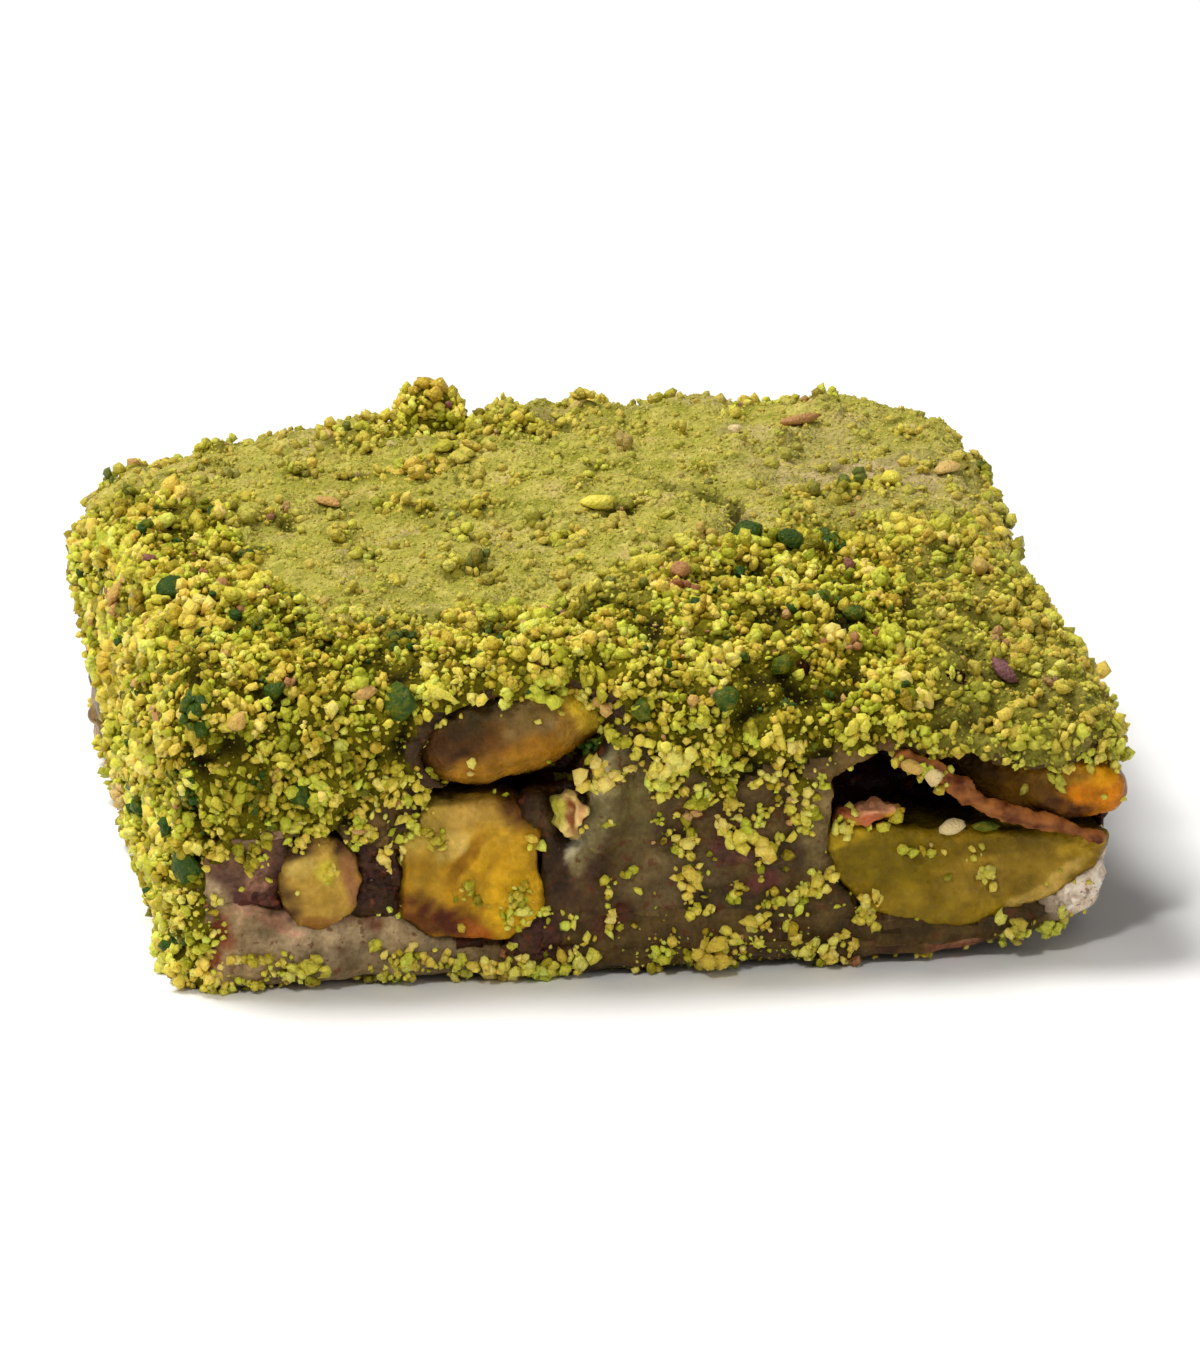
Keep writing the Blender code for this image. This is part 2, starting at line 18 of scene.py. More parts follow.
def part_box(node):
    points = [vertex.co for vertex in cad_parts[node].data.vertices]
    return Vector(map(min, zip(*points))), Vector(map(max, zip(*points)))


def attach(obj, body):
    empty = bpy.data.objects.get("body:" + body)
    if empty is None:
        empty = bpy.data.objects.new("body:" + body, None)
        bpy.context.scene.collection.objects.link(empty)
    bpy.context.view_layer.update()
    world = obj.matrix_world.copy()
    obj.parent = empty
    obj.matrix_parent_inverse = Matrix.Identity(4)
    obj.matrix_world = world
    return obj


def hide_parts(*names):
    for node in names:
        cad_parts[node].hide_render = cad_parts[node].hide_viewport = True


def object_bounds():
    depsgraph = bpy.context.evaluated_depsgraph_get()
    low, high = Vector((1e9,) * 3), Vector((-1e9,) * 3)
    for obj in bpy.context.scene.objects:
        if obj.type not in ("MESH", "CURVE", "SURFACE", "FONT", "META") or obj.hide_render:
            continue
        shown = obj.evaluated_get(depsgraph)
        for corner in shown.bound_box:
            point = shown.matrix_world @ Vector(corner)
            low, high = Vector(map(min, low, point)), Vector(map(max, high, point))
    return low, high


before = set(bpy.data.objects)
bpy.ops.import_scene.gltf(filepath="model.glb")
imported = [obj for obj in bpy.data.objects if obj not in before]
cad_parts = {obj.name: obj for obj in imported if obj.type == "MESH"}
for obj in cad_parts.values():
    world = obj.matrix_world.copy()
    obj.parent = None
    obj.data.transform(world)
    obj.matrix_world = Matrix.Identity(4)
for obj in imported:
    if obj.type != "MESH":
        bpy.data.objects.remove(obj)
CAD_BOX = [list(corner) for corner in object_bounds()]

MM = 0.001

# The block, as the frame has it; behind its front corner the right side runs in, with a dip
HALF_WIDTH = 20.3 * MM
FRONT = -19.0 * MM
BACK = 19.0 * MM
RIGHT_TAPER = 1.0 * MM
TAPER_FROM = -11.0 * MM
TAPER_REACH = 10.0 * MM
RIGHT_DIP = 0.6 * MM
DIP_PLACE = -1.0 * MM
DIP_REACH = 4.5 * MM
# How far above the CAD's highest point a crumb may stand
HEADROOM = 0.42 * MM

# The camera looks from a little to the left and above, from far off
VIEW_AZIMUTH = -8.0
VIEW_ELEVATION = 17.5
VIEW_DISTANCE = 0.75
VIEW_TARGET = Vector((0.2, 0.0, 7.6)) * MM
VIEW_LENS = 430
SENSOR = 36

# The coat's lower edge on each side, and where loose crumbs end on the upper face: place and edge, mm
FRONT_COAT = (
    (-20.5, -1.0), (-19.9, 6.0), (-19.2, 7.1), (-17.0, 7.6), (-15.0, 7.6), (-12.2, 8.0), (-11.3, 9.4),
    (-10.4, 12.5), (-8.0, 13.5), (-4.0, 13.9), (-2.4, 13.9), (-1.5, 13.0), (-0.5, 11.6), (1.0, 9.8),
    (3.0, 8.8), (6.6, 9.2), (8.2, 10.4), (11.0, 10.6), (13.5, 9.6), (16.5, 9.4), (23.0, 9.6),
)
LEFT_COAT = ((-21.0, -1.0), (5.0, -1.0), (8.5, 6.3), (21.0, 7.2))
BACK_COAT = ((-21.0, 7.2), (-9.0, 8.4), (-1.0, 9.8), (8.0, 8.6), (15.0, 10.0), (21.0, 8.8))
RIGHT_COAT = ((-21.0, 9.4), (-12.0, 8.2), (-3.0, 9.4), (6.0, 10.2), (14.0, 8.0), (21.0, 8.8))
LOOSE_EDGE = (
    (-23.0, 16.0), (-17.0, 8.0), (-14.5, -11.5), (-5.0, -11.5), (0.0, -7.5), (4.0, -3.5), (8.0, 0.5),
    (23.0, 1.0),
)

# The crack in the pressed powder: its course on the upper face, its width, how far the powder beside
# it stays calm, and its depth; then the shallow pit. All in mm
CRACK = ((3.0, 6.4), (5.6, 5.0), (7.0, 3.4), (6.6, -0.4))
CRACK_WIDTH = 0.36
CRACK_CALM = 1.5
CRACK_DEPTH = 0.85
PIT = (-11.0, 5.8)
PIT_REACH = 1.3
PIT_DEPTH = 0.50

# Clumps of crumbs that stick to the front side: place (x, z) and reach, mm
FRONT_CLUMPS = (
    (6.0, 3.1, 0.9), (7.6, 4.3, 0.7), (9.4, 2.7, 0.8), (-6.3, 1.1, 0.8), (-11.8, 1.0, 1.2),
    (-16.5, 0.5, 1.2), (3.0, 1.1, 1.3), (-2.0, 4.3, 0.5), (-2.0, 2.7, 0.5), (-5.0, 3.2, 0.5),
    (-8.6, 4.6, 0.55), (-6.5, 3.3, 0.6), (1.7, 6.3, 0.6), (1.6, 4.9, 0.5), (1.8, 3.4, 0.5),
    (-17.8, 6.6, 0.7), (-14.7, 5.8, 0.55), (-18.9, 1.6, 0.5), (-4.2, 0.6, 1.0), (0.2, 1.2, 0.5),
    (4.8, 5.6, 0.5), (-2.7, 9.5, 0.5), (-2.9, 13.0, 0.7), (-4.6, 13.6, 0.5), (-13.0, 8.3, 0.9),
    (-10.9, 8.2, 0.6), (6.4, 7.2, 0.8), (3.4, 8.0, 0.6), (11.9, 9.2, 0.5), (8.0, 1.0, 0.8),
    (-8.9, 0.6, 0.6), (12.6, 5.4, 0.35), (18.5, 1.9, 0.5), (-19.7, 3.0, 0.5), (-12.2, 3.5, 0.4),
    (-10.9, 7.8, 0.5), (-9.8, 6.9, 0.45), (11.0, 10.0, 0.4), (11.9, 9.4, 0.4), (13.0, 8.8, 0.35),
    (11.2, 5.3, 0.3), (14.6, 5.1, 0.35), (14.9, 4.1, 0.3), (9.0, 6.2, 0.4), (16.3, 1.5, 0.6),
    (18.2, 8.8, 0.4), (-3.9, 2.9, 0.35), (-3.2, 1.7, 0.35), (5.6, 6.0, 0.4), (0.0, 7.4, 0.5),
    (11.2, 7.1, 0.35), (8.3, 6.5, 0.4), (20.9, 9.0, 0.5), (19.4, 9.3, 0.5), (0.6, 9.2, 0.9),
    (3.0, 9.8, 0.9), (5.4, 9.0, 0.9), (7.2, 8.8, 0.6), (-1.4, 11.2, 0.8), (2.0, 8.2, 0.5),
    (-2.2, 7.6, 0.3), (-1.8, 9.6, 0.4), (-11.4, 8.9, 0.8), (-11.4, 7.2, 0.5), (-11.7, 5.8, 0.35),
    (-6.2, 4.2, 0.55), (-5.6, 3.2, 0.5), (-7.2, 3.8, 0.4), (4.4, 2.0, 0.7), (6.6, 1.4, 0.6),
    (3.4, 6.9, 0.6), (1.0, 7.6, 0.5), (5.0, 7.6, 0.6), (-19.9, 6.6, 0.7), (-16.0, 7.4, 0.7),
    (-20.1, 4.4, 0.5), (-20.2, 2.2, 0.5), (-13.4, 7.4, 0.6), (-19.6, 0.9, 0.7),
)

# The tall clump of crumbs near the back edge: its place (x, y) and its reach, mm
TALL_CLUMP = (-5.2, 17.2)
TALL_CLUMP_REACH = 1.7

# Patches with soft edges, as their middle and how far they reach, mm. On the upper face, as (x, y):
# where crumbs lie loose, where the powder looks grey, and where it has few crumbs. On the front side,
# as (x, z): where the paste swells out
LOOSE_MOUND = ((-1.5, 14.5), (3.6, 1.7))
GREY_CAST = ((13.5, 7.0), (5.0, 4.0))
SMOOTH_PATCH = ((13.5, 7.0), (4.0, 3.0))
PASTE_SWELL = ((-18.9, 6.1), (1.5, 1.0))

# The colour of the key lights, and half the side of the floor
WARM_LIGHT = (1.0, 0.985, 0.955)
FLOOR_REACH = 4.0


# Scene set-up


def add_object(name, data):
    """A new object in the scene."""
    made = bpy.data.objects.new(name, data)
    bpy.context.scene.collection.objects.link(made)
    return made


def look_at(made, target):
    """Turns a camera or a light towards a point."""
    made.rotation_euler = (target - made.location).to_track_quat("-Z", "Y").to_euler()


def make_camera():
    """The camera, at the photograph's viewing angle."""
    data = bpy.data.cameras.new("camera")
    data.lens = VIEW_LENS
    data.sensor_width = SENSOR
    data.clip_start = 0.01
    made = add_object("camera", data)
    azimuth, elevation = math.radians(VIEW_AZIMUTH), math.radians(VIEW_ELEVATION)
    flat = math.cos(elevation)
    back = Vector((math.sin(azimuth) * flat, -math.cos(azimuth) * flat, math.sin(elevation)))
    made.location = VIEW_TARGET + back * VIEW_DISTANCE
    look_at(made, VIEW_TARGET)
    bpy.context.scene.camera = made


def make_light(name, place, size, power, colour=(1, 1, 1)):
    """A soft square light that faces the sweet."""
    data = bpy.data.lights.new(name, "AREA")
    data.shape = "SQUARE"
    data.size = size
    data.energy = power
    data.color = colour
    made = add_object(name, data)
    made.location = place
    look_at(made, VIEW_TARGET)


def make_studio():
    """A pale floor, a white surround and soft lights."""
    world = bpy.data.worlds.new("studio")
    world.use_nodes = True
    surround = world.node_tree.nodes["Background"]
    surround.inputs["Color"].default_value = (1.0, 0.995, 0.985, 1)
    surround.inputs["Strength"].default_value = 0.20
    bpy.context.scene.world = world
    bpy.context.scene.view_settings.view_transform = "Standard"

    make_light("key", (-0.40, 0.20, 1.05), 0.40, 12.0, WARM_LIGHT)
    make_light("front_key", (-0.42, -0.72, 0.82), 0.13, 4.4, WARM_LIGHT)
    make_light("left_fill", (-1.00, -0.10, 0.40), 0.50, 1.0)
    make_light("right_fill", (0.85, -0.60, 0.38), 0.40, 1.3)

    corners = [(x * FLOOR_REACH, y * FLOOR_REACH, 0) for x, y in ((-1, -1), (1, -1), (1, 1), (-1, 1))]
    mesh = bpy.data.meshes.new("floor")
    mesh.from_pydata(corners, [], [(0, 1, 2, 3)])
    floor = add_object("floor", mesh)
    mesh.materials.append(floor_material())


# Node helpers


def connect(tree, value, given):
    """Feeds a socket from another socket, or sets its value."""
    if isinstance(value, bpy.types.NodeSocket):
        tree.links.new(value, given)
    elif hasattr(given.default_value, "__len__") and len(given.default_value) == 4 and len(value) == 3:
        given.default_value = (*value, 1)
    else:
        given.default_value = value


def add_node(tree, kind, settings=None, **values):
    """A node with these settings, and these values on the inputs of these names."""
    made = tree.nodes.new(kind)
    for name, value in (settings or {}).items():
        setattr(made, name, value)
    for name, value in values.items():
        connect(tree, value, made.inputs[name.replace("_", " ")])
    return made


def math_node(tree, operation, *values, clamp=False):
    """The output of a Math node."""
    made = tree.nodes.new("ShaderNodeMath")
    made.operation = operation
    made.use_clamp = clamp
    for given, value in zip(made.inputs, values):
        connect(tree, value, given)
    return made.outputs[0]


def scaled(tree, vector, factor):
    """The vector times the factor."""
    made = add_node(tree, "ShaderNodeVectorMath", {"operation": "SCALE"}, Scale=factor)
    tree.links.new(vector, made.inputs[0])
    return made.outputs["Vector"]


def mix_colour(tree, share, first, second, blend="MIX"):
    """The output of a Mix node for colours."""
    made = tree.nodes.new("ShaderNodeMix")
    made.data_type = "RGBA"
    made.blend_type = blend
    for index, value in ((0, share), (6, first), (7, second)):
        connect(tree, value, made.inputs[index])
    return made.outputs[2]


def tinted(tree, colour, share, low, high):
    """The colour times a shade between low and high, which the share picks."""
    return mix_colour(tree, 1.0, colour, mix_colour(tree, share, low, high), "MULTIPLY")


def ramp(tree, share, stops):
    """The colour that a ramp gives: stops are (place, colour)."""
    made = tree.nodes.new("ShaderNodeValToRGB")
    elements = made.color_ramp.elements
    while len(elements) < len(stops):
        elements.new(0.5)
    for element, (place, colour) in zip(elements, stops):
        element.position = place
        element.color = (*colour, 1)
    tree.links.new(share, made.inputs["Fac"])
    return made.outputs["Color"]


def band(tree, value, low, high):
    """0 at low, 1 at high, smooth between; low may be the larger one."""
    made = add_node(tree, "ShaderNodeMapRange", {"interpolation_type": "SMOOTHSTEP"}, Value=value)
    made.inputs["From Min"].default_value = low
    made.inputs["From Max"].default_value = high
    return made.outputs["Result"]


def new_group(name, inputs, outputs):
    """An empty shader node group with these sockets, and its two end nodes."""
    tree = bpy.data.node_groups.new(name, "ShaderNodeTree")
    for label, kind, value in inputs:
        tree.interface.new_socket(label, in_out="INPUT", socket_type=kind).default_value = value
    for label, kind in outputs:
        tree.interface.new_socket(label, in_out="OUTPUT", socket_type=kind)
    return tree, tree.nodes.new("NodeGroupInput"), tree.nodes.new("NodeGroupOutput")


def mottle_group():
    """Soft cloudy patches: a share from 0 to 1, at a size in metres."""
    inputs = [
        ("Vector", "NodeSocketVector", (0, 0, 0)),
        ("Size", "NodeSocketFloat", 1 * MM),
        ("Contrast", "NodeSocketFloat", 1.0),
    ]
    tree, given, result = new_group("Mottle", inputs, [("Share", "NodeSocketFloat")])
    scale = math_node(tree, "DIVIDE", 1.0, given.outputs["Size"])
    cloud = add_node(tree, "ShaderNodeTexNoise", Vector=given.outputs["Vector"], Scale=scale, Detail=4.0)
    centred = math_node(tree, "SUBTRACT", cloud.outputs["Fac"], 0.5)
    spread = math_node(tree, "MULTIPLY_ADD", centred, given.outputs["Contrast"], 0.5, clamp=True)
    tree.links.new(spread, result.inputs["Share"])
    return tree


def grain_group():
    """Packed grains: a height for bump, and a tone that is the same over each grain."""
    inputs = [("Vector", "NodeSocketVector", (0, 0, 0)), ("Size", "NodeSocketFloat", 0.3 * MM)]
    outputs = [("Height", "NodeSocketFloat"), ("Tone", "NodeSocketFloat")]
    tree, given, result = new_group("Grain", inputs, outputs)
    scale = math_node(tree, "DIVIDE", 1.0, given.outputs["Size"])
    warp = add_node(tree, "ShaderNodeTexNoise", Vector=given.outputs["Vector"], Scale=scale)
    moved = add_node(tree, "ShaderNodeVectorMath", {"operation": "ADD"})
    tree.links.new(given.outputs["Vector"], moved.inputs[0])
    tree.links.new(scaled(tree, warp.outputs["Color"], 0.25 * MM), moved.inputs[1])
    cells = add_node(tree, "ShaderNodeTexVoronoi", Vector=moved.outputs["Vector"], Scale=scale)
    round_top = math_node(tree, "POWER", cells.outputs["Distance"], 2.0)
    height = math_node(tree, "SUBTRACT", 1.0, round_top, clamp=True)
    tone = add_node(tree, "ShaderNodeSeparateColor", Color=cells.outputs["Color"])
    tree.links.new(height, result.inputs["Height"])
    tree.links.new(tone.outputs["Red"], result.inputs["Tone"])
    return tree


MOTTLE = mottle_group()
GRAIN = grain_group()


def mottle(tree, place, size, contrast):
    """The share of a Mottle group placed in a material."""
    values = {"Vector": place, "Size": size, "Contrast": contrast}
    return add_node(tree, "ShaderNodeGroup", {"node_tree": MOTTLE}, **values).outputs["Share"]


def grain(tree, place, size):
    """The outputs of a Grain group placed in a material."""
    return add_node(tree, "ShaderNodeGroup", {"node_tree": GRAIN}, Vector=place, Size=size).outputs


def attribute(tree, name, output="Fac"):
    """A number or a colour that the mesh keeps at its points."""
    return add_node(tree, "ShaderNodeAttribute", {"attribute_name": name}).outputs[output]


def new_material(name, gloss):
    """A material, its tree, its Principled node and its object coordinates."""
    made = bpy.data.materials.new(name)
    made.use_nodes = True
    tree = made.node_tree
    shader = tree.nodes["Principled BSDF"]
    shader.inputs["Specular IOR Level"].default_value = gloss
    place = tree.nodes.new("ShaderNodeTexCoord").outputs["Object"]
    return made, tree, shader, place


def finish_surface(tree, shader, colour, rough, height, depth):
    """Feeds the shader's colour, roughness and, through bump of this depth in metres, its normal."""
    connect(tree, colour, shader.inputs["Base Color"])
    connect(tree, rough, shader.inputs["Roughness"])
    bump = add_node(tree, "ShaderNodeBump", Height=height, Distance=depth)
    tree.links.new(bump.outputs["Normal"], shader.inputs["Normal"])


def soften(shader, weight, radius, scale):
    """Lets light through the surface, as into jelly and nuts."""
    shader.inputs["Subsurface Weight"].default_value = weight
    shader.inputs["Subsurface Radius"].default_value = radius
    shader.inputs["Subsurface Scale"].default_value = scale


# Materials

# The crumbs' tones, from dark green to pale yellow
CRUMB_TONES = (
    (0.00, (0.034, 0.084, 0.006)),
    (0.07, (0.085, 0.125, 0.005)),
    (0.20, (0.205, 0.185, 0.004)),
    (0.45, (0.465, 0.400, 0.018)),
    (0.70, (0.710, 0.610, 0.064)),
    (0.90, (0.900, 0.790, 0.095)),
    (1.00, (0.940, 0.850, 0.165)),
)
# Each crumb's own hue lies between these two, which multiply its tone
COOL_HUE = (0.82, 1.00, 0.70)
WARM_HUE = (1.18, 0.94, 1.25)
# The few odd crumbs, from cream through tan to purple-brown
ODD_TONES = (
    (0.00, (0.84, 0.66, 0.34)),
    (0.20, (0.72, 0.46, 0.11)),
    (0.50, (0.60, 0.33, 0.12)),
    (0.75, (0.36, 0.14, 0.06)),
    (1.00, (0.24, 0.105, 0.105)),
)
# The smooth powder of the top, and its grey cast
POWDER_TONES = (
    (0.00, (0.36, 0.34, 0.050)),
    (0.40, (0.51, 0.46, 0.088)),
    (0.72, (0.57, 0.50, 0.115)),
    (1.00, (0.61, 0.48, 0.155)),
)
POWDER_GREY = (0.50, 0.38, 0.205)
# The bed between loose crumbs, dark partly as painted shade among them, and the painted shadow in the gaps
# between their clumps
DARK_BED = (0.030, 0.025, 0.001)
LIGHT_BED = (0.215, 0.183, 0.006)
GAP_SHADOW_COLOUR = (0.020, 0.014, 0.001)
# The dust that dulls the crumbs where the coat is pressed
DUST = (0.530, 0.465, 0.105)


def floor_material():
    """A plain pale floor with the faintest unevenness."""
    made, tree, shader, place = new_material("pale_floor", 0.2)
    tint = mix_colour(tree, mottle(tree, place, 60 * MM, 0.5), (0.89, 0.89, 0.895), (0.91, 0.91, 0.915))
    connect(tree, tint, shader.inputs["Base Color"])
    shader.inputs["Roughness"].default_value = 0.6
    return made


def crumb_material():
    """Ground pistachio: each crumb has its own tone, from leaf green to yellow, and a few are tan."""
    made, tree, shader, place = new_material("ground_pistachio_crumbs", 0.20)
    cloud = math_node(tree, "SUBTRACT", mottle(tree, place, 0.28 * MM, 1.4), 0.5)
    own = math_node(tree, "ADD", attribute(tree, "tone"), attribute(tree, "lobe"))
    tone = math_node(tree, "MULTIPLY_ADD", cloud, 0.40, own, clamp=True)
    green = tinted(tree, ramp(tree, tone, CRUMB_TONES), attribute(tree, "warm"), COOL_HUE, WARM_HUE)
    odd = attribute(tree, "odd")
    picked = math_node(tree, "GREATER_THAN", odd, 0.001)
    colour = mix_colour(tree, picked, green, ramp(tree, odd, ODD_TONES))
    dusty = math_node(tree, "MULTIPLY", attribute(tree, "calm"), 0.58)
    colour = mix_colour(tree, dusty, colour, DUST)
    height = mottle(tree, place, 0.16 * MM, 2.0)
    finish_surface(tree, shader, colour, 0.30, height, 0.11 * MM)
    soften(shader, 0.30, (1.0, 0.8, 0.10), 0.40 * MM)
    return made


def coat_material():
    """The coat itself: pressed powder at the back of the top, elsewhere a dark bed between loose crumbs,
    partly painted shade, and painted shadow in the gaps, crack and pit.
    """
    made, tree, shader, place = new_material("pressed_coat", 0.06)
    fine = mottle(tree, place, 0.30 * MM, 1.9)
    wide = mottle(tree, place, 2.2 * MM, 2.4)
    own = attribute(tree, "own")
    powder = mix_colour(tree, attribute(tree, "cast"), ramp(tree, wide, POWDER_TONES), POWDER_GREY)
    powder = tinted(tree, powder, fine, (0.62, 0.64, 0.46), (1.14, 1.12, 1.22))
    powder = tinted(tree, powder, own, (0.72, 0.76, 0.52), (1.12, 1.10, 1.20))
    mixed = math_node(tree, "MULTIPLY_ADD", fine, 0.6, math_node(tree, "MULTIPLY", own, 0.4), clamp=True)
    # The bed between loose crumbs: its darker end is partly painted shade among them
    bed = mix_colour(tree, mixed, DARK_BED, LIGHT_BED)
    colour = mix_colour(tree, attribute(tree, "loose"), powder, bed)
    # Painted shadow: the gaps between clumps, the crack and the pit go near-black
    colour = mix_colour(tree, attribute(tree, "deep"), colour, GAP_SHADOW_COLOUR)
    height = math_node(tree, "MULTIPLY_ADD", grain(tree, place, 0.26 * MM)["Height"], 0.9, fine)
    finish_surface(tree, shader, colour, 0.80, height, 0.12 * MM)
    soften(shader, 0.06, (1.0, 0.8, 0.1), 0.35 * MM)
    return made


def jelly_material():
    """Clear starch jelly in the colours painted on it, wet; where it is crumbly it is cocoa paste."""
    made, tree, shader, place = new_material("clear_jelly", 0.13)
    crumbly = attribute(tree, "crumbly")
    cloud = mottle(tree, place, 1.2 * MM, 2.0)
    cells = grain(tree, place, 0.36 * MM)
    colour = tinted(tree, attribute(tree, "paint", "Color"), cloud, (0.50, 0.46, 0.38), (1.46, 1.50, 1.60))
    tiny = mottle(tree, place, 0.22 * MM, 2.0)
    colour = tinted(tree, colour, tiny, (0.70, 0.68, 0.62), (1.30, 1.32, 1.40))
    specks = band(tree, mottle(tree, place, 0.45 * MM, 3.0), 0.78, 0.96)
    colour = mix_colour(tree, math_node(tree, "MULTIPLY", specks, 0.65), colour, (0.120, 0.028, 0.010))
    lumpy = tinted(tree, colour, cells["Tone"], (0.30, 0.27, 0.27), (2.00, 1.90, 1.90))
    colour = mix_colour(tree, crumbly, colour, lumpy)
    smooth_height = math_node(tree, "MULTIPLY", mottle(tree, place, 0.36 * MM, 1.6), 0.62)
    height = add_node(tree, "ShaderNodeMix", {"data_type": "FLOAT"})
    for index, value in ((0, crumbly), (2, smooth_height), (3, cells["Height"])):
        connect(tree, value, height.inputs[index])
    rough = math_node(tree, "MULTIPLY_ADD", cloud, 0.22, 0.17)
    finish_surface(tree, shader, colour, rough, height.outputs[0], 0.16 * MM)
    soften(shader, 0.35, (1.0, 0.65, 0.30), 1.0 * MM)
    return made


def kernel_material():
    """A cut kernel in the colours painted on it, moist, with light coming through its edges."""
    made, tree, shader, place = new_material("cut_kernel", 0.13)
    cloud = mottle(tree, place, 0.9 * MM, 2.0)
    colour = tinted(tree, attribute(tree, "paint", "Color"), cloud, (0.74, 0.68, 0.46), (1.26, 1.24, 1.15))
    fine = mottle(tree, place, 0.26 * MM, 1.8)
    colour = tinted(tree, colour, fine, (0.84, 0.80, 0.62), (1.16, 1.16, 1.15))
    rough = math_node(tree, "MULTIPLY_ADD", cloud, 0.24, 0.14)
    finish_surface(tree, shader, colour, rough, fine, 0.09 * MM)
    soften(shader, 0.30, (1.0, 0.6, 0.12), 0.7 * MM)
    return made


def skin_material():
    """Dry, reddish-brown pistachio skin."""
    made, tree, shader, place = new_material("kernel_skin", 0.16)
    cloud = mottle(tree, place, 0.7 * MM, 2.4)
    colour = mix_colour(tree, cloud, (0.075, 0.014, 0.003), (0.440, 0.155, 0.032))
    finish_surface(tree, shader, colour, 0.38, cloud, 0.08 * MM)
    soften(shader, 0.15, (1.0, 0.4, 0.15), 0.4 * MM)
    return made


# Where the coat and the crumbs lie, worked out at each point of a surface


def smooth_share(value):
    """0 below 0, 1 above 1, and a smooth rise between them."""
    value = np.clip(value, 0.0, 1.0)
    return value * value * (3 - 2 * value)


def rise(value, start, reach):
    """0 up to start and 1 from start + reach on, both in mm; the value is in metres."""
    return smooth_share((value / MM - start) / reach)


def fall(value, end, reach):
    """1 up to end - reach and 0 from end on, both in mm; the value is in metres."""
    return smooth_share((end - value / MM) / reach)


def patch_at(first, second, patch):
    """1 in the middle of a patch, falling softly to 0 round it; the two places are in metres."""
    (middle_first, middle_second), (reach_first, reach_second) = patch
    aside = (first / MM - middle_first) / reach_first
    beyond = (second / MM - middle_second) / reach_second
    return np.exp(-(aside**2) - beyond**2)


def noise_at(points, size, shift=0.0):
    """Smooth noise from about -1 to 1 at each point, with features of this size."""
    return np.array([noise.noise(point) for point in points / size + shift])


def lumps_at(points, size):
    """Packed round lumps of this size: 0 between them and 1 at their tops."""
    nearest = [noise.voronoi(point)[0][0] for point in points / size]
    return 1 - np.clip(np.array(nearest), 0, 1) ** 2


def own_tone_at(points, size):
    """A number from 0 to 1 that is the same over each of those lumps."""
    middles = np.array([noise.voronoi(point)[1][0] for point in points / size])
    return (np.sin(middles @ np.array([12.9, 78.2, 37.7])) * 437.5) % 1.0


def edge_at(edge, place):
    """The edge at each place along it, both in metres."""
    places, values = np.array(edge).T
    return np.interp(place / MM, places, values) * MM


def right_side(y):
    """Where the right side stands, along its length."""
    taper = RIGHT_TAPER * smooth_share((y - TAPER_FROM) / TAPER_REACH)
    return HALF_WIDTH - taper - RIGHT_DIP * np.exp(-(((y - DIP_PLACE) / DIP_REACH) ** 2))


def coat_at(points, normals):
    """How fully the coat covers each point."""
    x, y, z = points.T
    away = np.array([y - FRONT, x + HALF_WIDTH, BACK - y, right_side(y) - x])
    thin = rise(x, -2.5, 2.0) * fall(x, 8.5, 2.0) * (y < FRONT + 3 * MM)
    ragged = (0.7 + 0.8 * thin) * noise_at(points, 2.2 * MM)
    ragged += (0.6 + 0.5 * thin) * noise_at(points, 1.0 * MM)
    along = x + 0.9 * MM * noise_at(points, 1.3 * MM, 3.0)
    edges = np.array([
        edge_at(FRONT_COAT, along), edge_at(LEFT_COAT, y), edge_at(BACK_COAT, x), edge_at(RIGHT_COAT, y),
    ])
    edge = np.take_along_axis(edges, away.argmin(axis=0)[None], axis=0)[0]
    side = smooth_share((z + ragged * MM - edge) / (0.5 * MM) + 0.5)
    flat_top = smooth_share((normals[:, 2] - 0.55) / 0.2) * (z > 9 * MM)
    inside = rise(away.min(axis=0), 1.3, 0.6) * (1 - flat_top) * (z < 14 * MM)
    return np.maximum(side, flat_top) * (1 - inside)


def clump_at(points):
    """The tall clump of crumbs near the back edge."""
    x, y, _ = points.T / MM
    return smooth_share(2.2 - np.hypot(x - TALL_CLUMP[0], y - TALL_CLUMP[1]) / TALL_CLUMP_REACH)


def loose_at(points):
    """How loose the coat lies: 0 where it is pressed smooth, 1 where it is all crumbs."""
    x, y, z = points.T
    ragged = 3.2 * MM * noise_at(points, 4.5 * MM) + 2.0 * MM * noise_at(points, 1.6 * MM)
    uncracked = 1 - crack_at(points, CRACK_CALM)
    on_top = smooth_share((edge_at(LOOSE_EDGE, x) + ragged - y) / (6.0 * MM) + 0.5)
    calmer = 1 - 0.42 * rise(x, 11.5, 3.5) * rise(x - y, 15.0, 6.0)
    front = calmer * np.maximum(on_top, fall(z, 12.4, 1.6)) * uncracked
    rim = 0.85 * rise(y - BACK + 0.6 * ragged, -1.6, 1.2) * (x < 3 * MM)
    mound = 0.9 * patch_at(x, y, LOOSE_MOUND)
    tufts = 0.75 * smooth_share(noise_at(points, 2.4 * MM, 11.0) * 3.2 - 0.55) * uncracked
    return np.maximum.reduce([front, rim, mound, clump_at(points), tufts])


def outside_at(points):
    """1 on the outer faces of the block, 0 inside it and on its underside."""
    x, y, z = points.T
    side = np.maximum(np.maximum(-x - HALF_WIDTH, x - right_side(y)), np.abs(y) - BACK) / MM
    return np.maximum(smooth_share((side + 0.9) / 0.5), rise(z, 11.0, 1.0)) * (z > 0.15 * MM)


